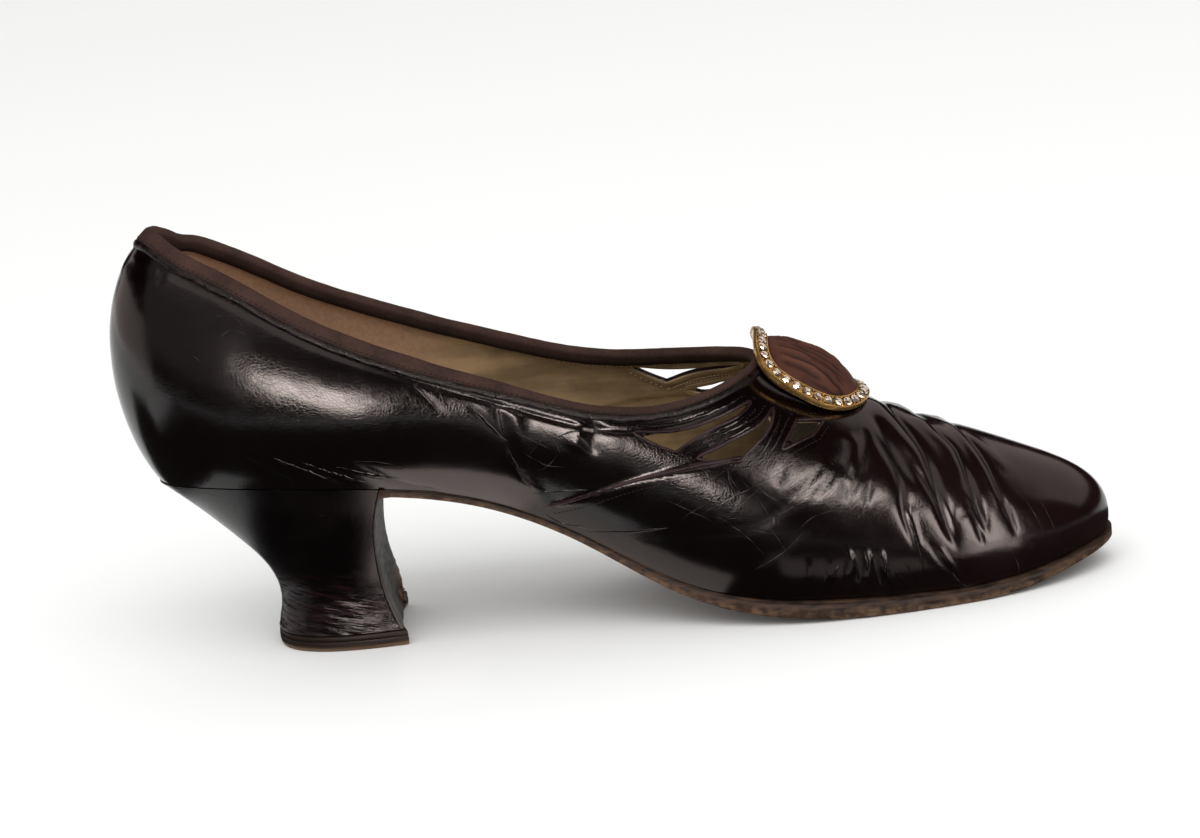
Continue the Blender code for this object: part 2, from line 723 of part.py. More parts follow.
def make_ribbon(last):
    """Puffed silk held in the buckle, its base following the vamp."""
    rows, spokes = 6, 28
    middle = np.array(((BUCKLE_REAR[0] + BUCKLE_FRONT[0]) / 2 - 0.3, 0.0))
    points, under = [], []
    for i in range(rows):
        share = 1 - i / rows
        for j in range(spokes):
            angle = 2 * math.pi * j / spokes
            c, s = math.cos(angle), math.sin(angle)
            square = TOE_SIDE_SQUARE if c > 0 else THROAT_SIDE_SQUARE
            x = middle[0] + RIBBON_HALF[0] * share * math.copysign(abs(c) ** (2 / square), c)
            y = RIBBON_HALF[1] * share * math.copysign(abs(s) ** (2 / square), s)
            vamp = vamp_height(last, x, y)
            points.append((x, y, vamp + RIBBON_BASE + RIBBON_CROWN * (1 - share**3) ** 0.6))
            under.append((x, y, vamp + RIBBON_SEAT))
    peak = vamp_height(last, *middle)
    points.append((middle[0], middle[1], peak + RIBBON_BASE + RIBBON_CROWN))
    under.append((middle[0], middle[1], peak + RIBBON_SEAT))
    faces = []
    offset = len(points)
    for base in (0, offset):
        for i in range(rows - 1):
            for j in range(spokes):
                k = (j + 1) % spokes
                a, b = base + i * spokes, base + (i + 1) * spokes
                faces.append((a + j, a + k, b + k, b + j))
        top_row = base + (rows - 1) * spokes
        for j in range(spokes):
            faces.append((top_row + j, top_row + (j + 1) % spokes, base + offset - 1))
    for j in range(spokes):
        k = (j + 1) % spokes
        faces.append((j, k, offset + k, offset + j))
    return finish(add_mesh("ribbon_pad", points + under, faces), "ribbon_pad")


def vamp_height(last, x, y):
    """Height of the vamp above a point of the plan."""
    at = last.station(-1 if y < 0 else 1, x)
    v = np.linspace(0.3, 1, 300)
    line = last.surface(np.full(v.shape, at), v)
    return float(np.interp(abs(y), np.abs(line[::-1, 1]), line[::-1, 2]))


def main():
    clear_scene()
    last = Last()
    make_upper(last)
    make_outsole(last)
    make_heel(last)
    make_top_piece(last)
    make_insole(last)
    make_binding(last)
    make_buckle()
    make_ribbon(last)


if __name__ == "__main__":
    main()
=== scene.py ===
"""Finished surfaces of a worn left court shoe: glazed kid, ribbon, silk, gilt metal and paste stones."""

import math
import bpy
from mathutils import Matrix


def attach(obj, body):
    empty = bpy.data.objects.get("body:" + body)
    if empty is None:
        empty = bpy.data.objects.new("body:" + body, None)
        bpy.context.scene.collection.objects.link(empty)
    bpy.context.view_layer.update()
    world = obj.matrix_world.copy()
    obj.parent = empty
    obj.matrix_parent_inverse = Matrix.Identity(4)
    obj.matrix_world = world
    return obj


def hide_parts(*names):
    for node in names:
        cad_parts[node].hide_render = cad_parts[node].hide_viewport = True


bl_info = {
    "name": "Buckle court shoe",
    "version": (1, 0, 0),
    "blender": (4, 5, 0),
    "location": "View3D > Sidebar > Shoe",
    "description": "Dresses the solids of one buckle shoe with worn leather, ribbon, silk, gilt and paste",
    "category": "Add Mesh",
}

import bpy
import numpy as np
from mathutils import Matrix, Vector, noise

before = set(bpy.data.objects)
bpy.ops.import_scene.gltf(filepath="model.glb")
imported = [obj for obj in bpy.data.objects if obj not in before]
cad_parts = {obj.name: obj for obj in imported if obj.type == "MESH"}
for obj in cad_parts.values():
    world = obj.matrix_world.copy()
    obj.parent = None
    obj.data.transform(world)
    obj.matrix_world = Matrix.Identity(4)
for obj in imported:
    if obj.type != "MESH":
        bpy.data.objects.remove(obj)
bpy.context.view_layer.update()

MM = 0.001
BODY = "root"

# The shoe's own sizes, in millimetres: x from the back of the heel to the toe, y from the inner side to
# the outer side, z up from the floor. ORIGIN is the middle of the shoe on the floor.
ORIGIN = (125.9, 2.2, 0.0)
GAP = 0.3

# Half sections of the last from the back of the heel round to the toe tip. edge is the seam between
# upper and sole, lean is the angle at which the wall leaves it, low and high are how far the wall
# keeps its direction at the sole and at the ridge.
SECTIONS = (
    ("edge_x", "edge_in", "edge_out", "edge_z", "ridge_x", "lean", "low", "high_in", "high_out"),
    (9.4, 0.0, 0.0, 46.5, 40.0, 56.0, 26.0, 44.5, 44.5),
    (13.0, 12.5, 12.5, 47.2, 42.0, 57.0, 27.0, 34.0, 34.0),
    (24.0, 21.0, 21.0, 47.6, 48.0, 58.0, 29.0, 19.0, 19.0),
    (42.0, 24.8, 25.2, 46.4, 58.0, 58.0, 30.0, 9.0, 9.0),
    (66.0, 24.0, 26.0, 43.8, 70.0, 58.0, 30.0, 6.0, 7.0),
    (90.0, 20.5, 27.0, 38.0, 90.0, 57.0, 30.0, 10.0, 12.0),
    (115.0, 21.5, 30.0, 26.4, 115.0, 58.0, 28.0, 16.0, 20.0),
    (140.0, 26.0, 33.0, 12.2, 140.0, 62.0, 26.0, 21.0, 26.0),
    (165.0, 30.6, 35.2, 6.7, 165.0, 67.0, 22.0, 22.0, 25.0),
    (185.0, 30.3, 34.2, 5.3, 185.0, 70.0, 19.0, 21.5, 24.0),
    (205.0, 27.6, 29.2, 4.4, 203.0, 71.0, 17.0, 20.0, 20.5),
    (224.0, 22.6, 22.6, 5.0, 217.0, 73.0, 14.0, 17.0, 17.0),
    (238.0, 16.0, 16.0, 7.3, 227.5, 75.0, 11.0, 13.0, 13.0),
    (246.5, 8.4, 8.4, 8.8, 234.0, 77.0, 9.5, 10.5, 10.5),
    (249.6, 0.0, 0.0, 9.3, 236.5, 78.0, 9.0, 10.0, 10.0),
)

# Height of the last's top ridge, and the length over which the sections start to follow its slope.
RIDGE_SLOPES = (120.0, 160.0)
RIDGE = (
    ("x", "z"),
    (40.0, 119.0),
    (60.0, 112.0),
    (80.0, 101.0),
    (100.0, 90.5),
    (120.0, 81.5),
    (140.0, 73.5),
    (158.0, 65.2),
    (175.0, 56.2),
    (194.0, 46.9),
    (211.0, 39.5),
    (228.0, 32.4),
    (236.0, 28.9),
    (243.0, 25.4),
)

# Where the collar is cut, seen from the side, on the inner and outer quarter.
TOPLINE_WIDTH = 120.0
TOPLINE = (
    ("x", "inner_z", "outer_z"),
    (-12.0, 112.0, 112.0),
    (6.0, 111.5, 111.5),
    (17.0, 109.0, 109.0),
    (25.0, 104.6, 104.8),
    (34.0, 99.6, 99.6),
    (50.0, 89.5, 89.5),
    (67.0, 80.3, 81.5),
    (85.0, 72.2, 74.0),
    (102.0, 65.2, 67.8),
    (117.0, 59.2, 63.4),
    (130.0, 55.9, 62.0),
    (142.0, 55.5, 62.2),
    (152.0, 57.6, 62.5),
    (160.0, 60.2, 62.9),
    (165.0, 62.6, 64.0),
    (171.0, 69.0, 69.0),
)

# Cut-outs beside the throat: their sharp corners by place in the outline, then the outline as
# (x, girth down from the ridge), the same on both sides of the foot.
CUTOUTS = {
    "leaf": ((0, 4, 8),
             (131.0, 37.9), (138.2, 36.2), (145.8, 32.8), (153.4, 27.2), (160.4, 20.9),
             (157.6, 25.2), (149.8, 31.9), (143.9, 37.2), (140.6, 40.2), (136.0, 39.6)),
    "blade": ((0, 4, 7),
              (146.0, 40.4), (152.5, 35.4), (158.3, 30.4), (163.6, 24.8), (165.9, 20.4),
              (164.4, 26.2), (159.6, 33.4), (156.2, 38.0), (151.5, 39.7)),
    "wedge": ((0, 1, 2, 3, 4),
              (169.6, 26.0), (171.6, 21.3), (178.2, 18.0), (175.3, 23.4), (167.2, 31.0)),
}

# Edge of the vamp where it laps over the quarter, as (x, girth), its step, and the width over which the
# quarter comes back to the wall's face.
SEAM = ((157.1, 37.2), (148.3, 41.6), (137.1, 47.0), (125.9, 52.7), (118.7, 57.1), (108.0, 64.2))
SEAM_STEP = 0.6
SEAM_FADE = 11.0

# Creases of the worn kid. line is (x, girth), where girth runs from the ridge down the inner side as minus
# and down the outer side as plus. A negative depth raises a ridge.
CREASES = (
    ("depth", "width", "line"),
    # Folds across the inner side of the vamp, from the buckle towards the toe
    (0.55, 0.9, ((189.6, -14.0), (193.2, -22.0), (195.3, -28.5), (195.3, -35.0), (196.6, -41.5),
                 (198.2, -47.5))),
    (-0.25, 1.0, ((196.9, -34.0), (197.8, -40.5), (199.3, -46.5))),
    (0.5, 1.0, ((190.6, -8.0), (193.7, -18.5), (196.6, -25.0), (200.2, -30.5))),
    (-0.6, 2.6, ((190.5, 3.0), (194.6, -8.0), (197.9, -15.5), (201.3, -20.8), (202.8, -26.0))),
    (0.95, 1.1, ((195.0, 2.0), (197.6, -5.5), (200.2, -11.2), (202.4, -17.2), (203.9, -24.0),
                 (205.2, -31.0), (206.6, -37.0), (208.7, -44.5))),
    (0.45, 0.7, ((198.8, -21.8), (201.2, -26.0), (203.8, -30.6), (205.6, -36.0), (207.3, -42.0))),
    (-0.55, 2.2, ((201.6, 0.0), (206.0, -9.0), (209.4, -13.0), (211.3, -19.0), (212.4, -25.0))),
    (1.0, 1.1, ((203.6, -4.2), (207.6, -8.4), (210.4, -12.0), (212.0, -17.8), (213.4, -24.0),
                (214.6, -30.0), (216.8, -38.5))),
    (-0.35, 1.3, ((208.8, 4.0), (212.6, -5.4), (215.2, -12.1), (217.6, -19.3), (219.7, -26.7),
                  (221.4, -31.0))),
    (0.45, 0.8, ((211.4, 0.0), (215.6, -8.5), (218.9, -17.4), (221.0, -25.4), (222.7, -30.7),
                 (224.0, -35.6))),
    (0.35, 0.5, ((211.4, -26.8), (212.9, -31.7), (214.1, -36.4), (215.0, -40.5))),
    (0.3, 0.5, ((220.4, -26.4), (222.6, -31.8), (223.6, -35.4))),
    (0.2, 0.4, ((208.4, -35.0), (211.8, -31.7), (215.2, -27.4))),
    (-0.25, 1.8, ((213.8, -3.4), (220.7, -11.9), (224.8, -17.6))),
    # Gathers between the cut-outs and the highlight of the vamp
    (0.16, 0.4, ((167.6, -35.6), (164.0, -41.4))),
    (0.2, 0.4, ((177.2, -30.8), (173.3, -36.4), (170.0, -41.0), (165.6, -44.4))),
    (0.2, 0.4, ((180.0, -30.4), (177.0, -36.3), (172.6, -41.4))),
    (0.22, 0.4, ((182.2, -33.6), (180.4, -39.6))),
    (0.18, 0.4, ((185.4, -31.4), (182.6, -37.2))),
    (0.22, 0.4, ((188.2, -31.8), (186.2, -38.0))),
    (0.35, 1.2, ((182.0, -20.5), (181.5, -26.0), (178.0, -31.6))),
    (-0.3, 2.0, ((185.6, -19.0), (185.2, -25.0), (182.6, -31.0))),
    (0.4, 1.2, ((189.0, -15.4), (187.6, -23.6), (185.0, -33.0))),
    # Puckers above the sole
    (-0.55, 0.9, ((180.8, -50.6), (181.2, -54.1), (179.4, -60.0))),
    (0.4, 0.8, ((183.2, -50.0), (183.4, -54.5), (182.0, -60.0))),
    (-0.65, 1.0, ((185.5, -49.4), (185.4, -54.2), (184.3, -59.5))),
    (0.45, 0.8, ((187.4, -49.4), (187.8, -54.4), (188.2, -59.0))),
    (-0.6, 0.9, ((188.9, -48.2), (189.5, -53.8), (192.0, -58.0))),
    (-0.35, 0.7, ((176.6, -54.0), (175.8, -61.5))),
    (-0.35, 0.7, ((171.0, -58.0), (170.6, -64.0))),
    (0.35, 0.6, ((200.4, -42.0), (204.4, -47.6), (209.0, -52.6))),
    (-0.3, 0.6, ((203.1, -43.1), (206.6, -47.6), (210.0, -51.8))),
    # Waist and inner quarter
    (0.16, 0.7, ((170.4, -39.0), (164.8, -48.0), (158.8, -53.8), (144.5, -61.0), (126.0, -67.0))),
    (0.3, 1.0, ((97.2, -37.6), (98.4, -45.5), (99.2, -51.4), (104.6, -60.4))),
    (-0.3, 1.8, ((101.4, -38.4), (102.6, -46.0), (105.0, -53.0))),
    (0.4, 1.2, ((122.2, -36.6), (121.0, -41.4), (119.2, -46.2))),
    (-0.35, 1.9, ((118.2, -37.0), (117.0, -42.0), (115.0, -46.6))),
    (0.14, 0.6, ((77.6, -41.2), (84.4, -46.6))),
    (0.16, 0.6, ((90.4, -41.2), (99.2, -49.6))),
    (0.28, 0.7, ((33.0, -70.6), (48.4, -77.0))),
    (0.28, 0.7, ((49.4, -70.2), (58.6, -74.6))),
    (0.35, 0.9, ((60.0, -66.0), (72.0, -70.0), (84.0, -69.6))),
    # Folds over the outer side, carried on from the inner ones
    (0.8, 1.1, ((195.6, -2.0), (194.2, 6.0), (194.8, 16.0), (197.0, 27.0), (200.6, 40.0))),
    (-0.5, 2.4, ((198.8, 4.0), (199.2, 14.0), (201.4, 25.0), (204.0, 34.0))),
    (0.9, 1.1, ((204.4, -5.0), (203.2, 2.0), (204.0, 12.0), (206.6, 22.0), (209.6, 33.0), (212.0, 41.0))),
    (-0.4, 1.8, ((208.6, 3.0), (209.0, 12.0), (211.6, 22.0), (214.0, 30.0))),
    (0.45, 0.9, ((211.6, -1.0), (212.0, 8.0), (214.6, 19.0), (217.6, 30.0))),
    (0.55, 1.0, ((188.8, 14.0), (190.6, 23.0), (191.4, 33.0), (193.6, 46.0))),
    (0.4, 0.9, ((184.0, 20.0), (184.6, 29.0), (186.8, 40.0), (186.4, 50.0))),
    (-0.3, 1.6, ((178.6, 30.0), (179.6, 40.0), (181.0, 52.0))),
    (0.2, 0.8, ((172.0, 36.0), (166.0, 46.0), (156.0, 55.0), (140.0, 63.0))),
    (0.3, 1.1, ((100.0, 40.0), (101.4, 48.0), (105.0, 58.0))),
    (0.35, 1.1, ((120.4, 36.0), (119.6, 42.0), (117.0, 50.0))),
)
# Step along a crease, its reach in widths, the share over which each end fades, how round the foot of its
# valley is, and the width of its sharp line.
CREASE_STEP = 0.5
CREASE_REACH = 5.0
CREASE_TAPER = 0.22
CUSP = 0.22
HAIR = 0.4
# Depths at which a crease counts as a full fold and as a full sharp line.
FULL_FOLD = 0.6
FULL_LINE = 0.35

# Unevenness as (height, size, seed): over the whole upper, and crumpled at the back of the collar, with its
# start and its reach down. Then the groove under the hem: depth, place and width.
UNEVEN = ((0.05, 11.0, 1.0), (0.03, 4.0, 5.0))
CRUMPLE = ((0.6, 5.0, 9.0), (0.3, 2.4, 14.0))
CRUMPLE_START = (-28.0, -10.0)
CRUMPLE_REACH = 11.0
COLLAR_GROOVE = (0.2, 5.4, 0.6)
# A distance under the collar at which its wear no longer tells.
FAR_BELOW = 99.0

# Scuffs and dry scratches that show paler, as (strength, width, line).
SCUFFS = (
    ("strength", "width", "line"),
    (0.5, 0.5, ((158.9, -39.0), (160.3, -43.3), (165.2, -45.4), (167.5, -46.3))),
    (0.6, 0.5, ((150.0, -57.5), (156.4, -54.6), (160.9, -51.4), (167.1, -46.4), (172.8, -41.0))),
    (0.35, 0.6, ((157.3, -65.4), (165.2, -57.5), (172.0, -48.8))),
    (0.4, 0.5, ((78.4, -42.1), (83.8, -45.9))),
    (0.5, 0.5, ((91.1, -41.9), (98.7, -48.7))),
    (0.4, 0.6, ((196.4, -40.0), (198.2, -46.5))),
)

# The leather's cell sizes, as shares of the finest cell: closest over the creases and cut-outs.
CELLS = ((0.0, 120.0, 132.0, 222.0, 236.0, 250.0), (2.1, 2.0, 1.05, 1.0, 1.5, 1.5))
NEAR_THROAT = (0.004, 0.012, 0.026, 0.05, 0.085, 0.13, 0.19, 0.27, 0.37, 0.5, 0.66, 0.83)
THROAT_SPAN = 0.024
UPPER_ROWS = 66
# Lining: rows, cell and creases against the kid's, room under the kid, and how much wider its cut-outs are.
LINING_ROWS = 56
LINING_CELL = 1.3
LINING_SPREAD = 1.5
LINING_ROOM = 0.2
LINING_GROW = 0.15
# Where along the shoe the kid turns oxblood, the lining turns to cloth and suede, and painted shade darkens
# it.
OXBLOOD = (150.0, 232.0)
CLOTH = (176.0, 179.0)
CLOTH_BOW = 0.25
SUEDE = (-92.0, -66.0)
LINING_SHADE = (158.0, 172.0)

# Sections of the folded edges round the cut-outs, of the lining there, of the collar's hem and ribbon and of
# the vamp's edge, as (outwards, sideways). Sideways runs into the leather, or up over the collar.
LIP = ((-0.1, 0.75), (0.1, 0.62), (0.2, 0.4), (0.2, 0.1), (0.08, -0.12), (-0.35, -0.18), (-0.8, -0.1),
       (-1.0, 0.1), (-1.0, 0.5), (-0.6, 0.6))
LINING_LIP = ((-1.02, 0.1), (-1.04, 0.9), (-1.3, 1.4), (-1.66, 1.3), (-1.72, 0.8), (-1.66, 0.14),
              (-1.3, 0.04))
HEM = ((-0.9, -2.6), (0.1, -2.8), (0.34, -3.3), (0.4, -3.8), (0.3, -4.4), (0.06, -4.9), (-0.9, -4.9))
VAMP_EDGE = ((-0.25, -0.05), (0.06, -0.12), (0.2, 0.06), (0.22, 0.34), (0.12, 0.62), (-0.1, 0.85),
             (-0.35, 0.4))
RIBBON = ((0.1, -3.2), (0.3, -3.25), (0.42, -2.9), (0.5, -1.6), (0.48, -0.3), (0.34, 0.36), (-0.1, 0.6),
          (-0.85, 0.66), (-1.6, 0.58), (-2.2, 0.25), (-2.44, -0.4), (-2.52, -1.8), (-2.54, -3.1),
          (-2.4, -3.3), (-2.2, -3.1), (-1.98, -0.2), (-1.5, 0.1), (-0.2, 0.1), (0.06, -0.2), (0.08, -1.6))
# The ribbon's leg outside: its length, the share that it loses towards the throat, and where it narrows.
RIBBON_LEG = 3.2
RIBBON_LOSS = 0.5
NARROWING = (72.0, 118.0)
# Peak and dip of the worn collar at the back: how far up, place and width.
COLLAR_LIFTS = (
    ("up", "place", "width"),
    (1.3, (15.0, -9.0, 110.0), 5.0),
    (-1.5, (21.0, 9.5, 107.5), 3.4),
)

# Outsole: how far its edge stands beyond the last, and its thickness.
SOLE = (
    ("x", "margin", "thick"),
    (66.0, -0.8, 2.2),
    (90.0, -1.0, 2.4),
    (115.0, -0.9, 2.8),
    (140.0, -0.2, 3.7),
    (165.0, 1.0, 4.5),
    (185.0, 1.3, 4.8),
    (205.0, 1.3, 4.5),
    (225.0, 1.2, 3.7),
    (250.0, 0.9, 2.6),
)
# The sole's rim, from its top to its tread: how deep down the edge, and how far in from the full width.
SOLE_RIM = ((0.0, 0.0), (0.06, -0.02), (0.14, 0.22), (0.22, 0.24), (0.3, 0.0), (0.5, -0.05), (0.75, 0.0),
            (0.88, 0.14), (0.96, 0.42), (1.0, 0.9))
SOLE_COLUMNS = 10
TOE_START = 225.0
# The sole's thin end down the heel breast: curled and torn away at its foot on the outer side.
FLAP_THICK = 1.6
FLAP_WIDTH = 0.985
FLAP_HALF = 25.0
FLAP_CURL = 0.8
FLAP_TEAR = 14.0
# Insole with its leather sock: inset, curled-up edge, curved end and step down to the cloth.
INSOLE = 2.0
SEAT_END = 35.0
SOCK_INSET = 1.5
SOCK_CURL = 0.7
SOCK_END = 146.0
SOCK_BOW = 14.0
SOCK_STEP = 0.5

# Heel, from the seat down to the base: rearmost and breast positions and half width at each level.
HEEL = (
    ("drop", "back", "breast", "half"),
    (0.0, 9.2, 66.0, 25.0),
    (0.185, 18.0, 63.8, 22.0),
    (0.37, 25.6, 62.7, 18.2),
    (0.55, 32.2, 62.5, 15.8),
    (0.74, 35.9, 63.3, 15.0),
    (0.88, 35.9, 64.8, 15.6),
    (1.0, 34.8, 66.6, 16.8),
)
BREAST_X = 66.0
BREAST_HOLLOW = 2.0
BREAST_FADE = 0.2
HEEL_LEVELS = 84
HEEL_COLUMNS = (46, 20)
HEEL_SLANT = 0.22
# Wearing piece of the heel: its height, its edge as (share of the height, swell), and the wear of its outer
# front corner.
TOP_PIECE = 4.0
TOP_PIECE_EDGE = ((1.0, -0.35), (0.94, 0.0), (0.7, 0.2), (0.62, 0.02), (0.54, 0.24), (0.3, 0.22), (0.1, 0.1),
                  (0.03, -0.1), (0.0, -0.5))
CORNER_WEAR = 0.85
HEEL_BASE_Z = TOP_PIECE + GAP

# Buckle: middle of its band, on a plane sloping with the instep and drooping to both sides.
BUCKLE_REAR = (165.4, 68.4)
BUCKLE_FRONT = (190.0, 51.6)
BUCKLE_HALF = 15.4
BUCKLE_DROOP = 5.0
TOE_SIDE_SQUARE = 2.5
THROAT_SIDE_SQUARE = 3.4
STONES = 35
STONE = 1.27
STONE_SIDES = 8
# The band's section, as (across, up), with its channel for the stones.
BAND = ((1.7, -1.8), (1.88, -1.2), (1.9, -0.4), (1.72, -0.05), (1.46, -0.06), (1.36, -0.3), (1.32, -0.8),
        (-1.32, -0.8), (-1.36, -0.3), (-1.46, -0.06), (-1.72, -0.05), (-1.9, -0.4), (-1.88, -1.2),
        (-1.7, -1.8))
BEAD = 0.26
BEAD_ROWS = (-1.16, 1.16)

# Puffed silk in the buckle: half sizes along and across the foot, and heights over the vamp.
SILK_SHIFT = -0.3
SILK_HALF = (11.6, 13.4)
SILK_REAR = 14.4
SILK_BASE = 1.0
SILK_CROWN = 7.4
SILK_SEAT = 0.5
SILK_SPOKES = 132
SILK_ROWS = 54
# Gathers of the silk, along the foot: depth, width and line as (x, y) from the middle of the buckle.
GATHERS = (
    ("depth", "width", "line"),
    (1.3, 0.55, ((-10.5, -6.4), (-6.4, -7.0), (-1.2, -7.4), (2.3, -8.2), (5.0, -9.2), (6.4, -10.3),
                 (5.2, -11.3), (2.0, -11.3), (-3.0, -10.8))),
    (-0.7, 0.9, ((-9.0, -8.0), (-4.0, -8.8), (0.0, -9.2), (4.2, -10.2))),
    (0.8, 0.4, ((-9.0, -8.9), (-4.0, -9.6), (0.5, -10.1), (3.0, -10.5))),
    (1.2, 0.55, ((-10.5, -3.4), (-5.0, -4.6), (0.5, -5.2), (5.5, -6.2), (8.8, -7.6))),
    (-0.5, 0.8, ((-9.0, -5.0), (-3.0, -6.0), (3.0, -6.8), (7.0, -8.2))),
    (0.9, 0.45, ((-6.0, -2.2), (-1.0, -3.2), (4.0, -4.0), (8.6, -5.2))),
    (1.1, 0.55, ((-11.0, 0.4), (-4.0, -0.8), (3.0, -1.0), (9.8, -1.2))),
    (-0.6, 0.8, ((-10.0, 1.9), (-2.0, 1.0), (6.0, 1.2), (9.5, 1.6))),
    (1.2, 0.55, ((-10.5, 4.2), (-4.0, 3.2), (2.0, 3.4), (9.0, 4.2))),
    (-0.5, 0.8, ((-8.0, 6.2), (-1.0, 5.2), (6.0, 6.2))),
    (1.0, 0.5, ((-9.0, 8.2), (-2.0, 7.2), (4.0, 7.8), (8.2, 9.0))),
    (0.9, 0.5, ((-4.0, 10.6), (2.0, 10.0), (6.6, 11.0))),
    (0.7, 0.4, ((-2.0, -6.0), (2.0, -6.6), (5.6, -7.6), (8.0, -9.2))),
    (0.7, 0.4, ((-8.0, 2.4), (-5.0, 1.0), (-2.0, 0.6))),
)

# Raised wrinkles that stand out of the kid, as half width, lift and line of (x, girth): flutes on both sides
# along the strips between the cut-outs, and ridges of the inner side.
FLUTES = (
    ("half", "lift", "line"),
    (0.5, 0.28, ((145.4, 37.6), (150.0, 33.4), (157.0, 27.4), (161.0, 22.9))),
    (0.5, 0.28, ((145.6, 38.9), (150.4, 34.5), (157.2, 28.7), (161.8, 24.0))),
    (0.45, 0.25, ((147.0, 39.2), (151.6, 35.1), (157.8, 29.8), (162.8, 24.6))),
    (0.5, 0.28, ((166.8, 23.6), (165.0, 28.4), (161.6, 34.6))),
    (0.5, 0.28, ((168.6, 23.2), (167.0, 27.6), (163.8, 33.6))),
    (0.5, 0.25, ((134.0, 35.8), (141.0, 33.4), (148.0, 29.2), (155.0, 23.6), (159.6, 19.4))),
)
RIDGES = (
    ("half", "lift", "line"),
    # Waist
    (0.45, 0.24, ((77.8, 41.7), (80.5, 43.8), (83.3, 47.0))),
    (0.5, 0.32, ((91.5, 41.9), (94.2, 44.7), (97.0, 47.2), (99.2, 48.7))),
    (0.4, 0.28, ((97.9, 40.0), (98.3, 43.4), (98.7, 47.7))),
    (0.5, 0.28, ((99.3, 50.7), (101.0, 55.2), (102.4, 58.2), (103.7, 59.8))),
    (0.35, 0.2, ((87.6, 41.6), (90.1, 42.4))),
    (0.3, 0.18, ((112.1, 43.6), (115.9, 41.3), (118.6, 40.5))),
    (0.45, 0.28, ((116.6, 42.0), (118.7, 43.4), (119.8, 45.2))),
    (0.2, 0.12, ((104.5, 50.6), (106.6, 47.4), (108.6, 44.9))),
    (0.2, 0.12, ((102.3, 45.6), (105.6, 46.4), (109.1, 47.3))),
    (0.2, 0.12, ((107.4, 42.3), (110.2, 44.6), (112.4, 48.4))),
    (0.45, 0.2, ((116.7, 68.7), (125.8, 65.2), (136.6, 60.8))),
    (0.45, 0.22, ((104.3, 61.4), (111.5, 58.4), (117.9, 55.9))),
    (0.35, 0.18, ((106.3, 66.8), (109.7, 68.8), (116.0, 66.9))),
    # Quarter above the heel
    (0.6, 0.22, ((43.6, 69.6), (48.5, 71.2), (54.3, 73.1))),
    (0.7, 0.26, ((49.8, 69.2), (56.0, 71.1), (63.3, 72.1))),
    (0.6, 0.22, ((57.7, 68.5), (65.3, 69.5), (72.0, 68.4))),
    # Puckers above the sole
    (0.55, 0.36, ((184.9, 51.0), (185.1, 53.0), (185.1, 55.2))),
    (0.5, 0.34, ((189.3, 49.5), (189.5, 52.5), (189.6, 54.9), (190.7, 56.6))),
    (0.45, 0.3, ((180.9, 52.7), (180.0, 55.2), (179.4, 57.6), (179.3, 60.2))),
    (0.5, 0.3, ((175.0, 58.2), (174.9, 60.8), (174.3, 63.3))),
    (0.4, 0.26, ((182.4, 54.3), (182.8, 56.8), (182.7, 59.0))),
    (0.3, 0.2, ((194.2, 48.9), (196.0, 51.6), (197.8, 54.6))),
    (0.35, 0.22, ((178.0, 56.4), (176.8, 59.4), (176.4, 62.0))),
    (0.3, 0.2, ((186.8, 55.4), (187.4, 57.4), (188.8, 59.0))),
    (0.3, 0.2, ((192.0, 52.6), (193.4, 55.0), (195.4, 57.0))),
    (0.25, 0.18, ((196.4, 34.4), (197.4, 40.7), (198.9, 48.5), (199.4, 54.1))),
)
# The section of such a wrinkle, as shares of its half width and lift.
WRINKLE = ((-1.0, -0.3), (-0.85, 0.18), (-0.5, 0.72), (0.0, 1.0), (0.5, 0.72), (0.85, 0.18), (1.0, -0.3))

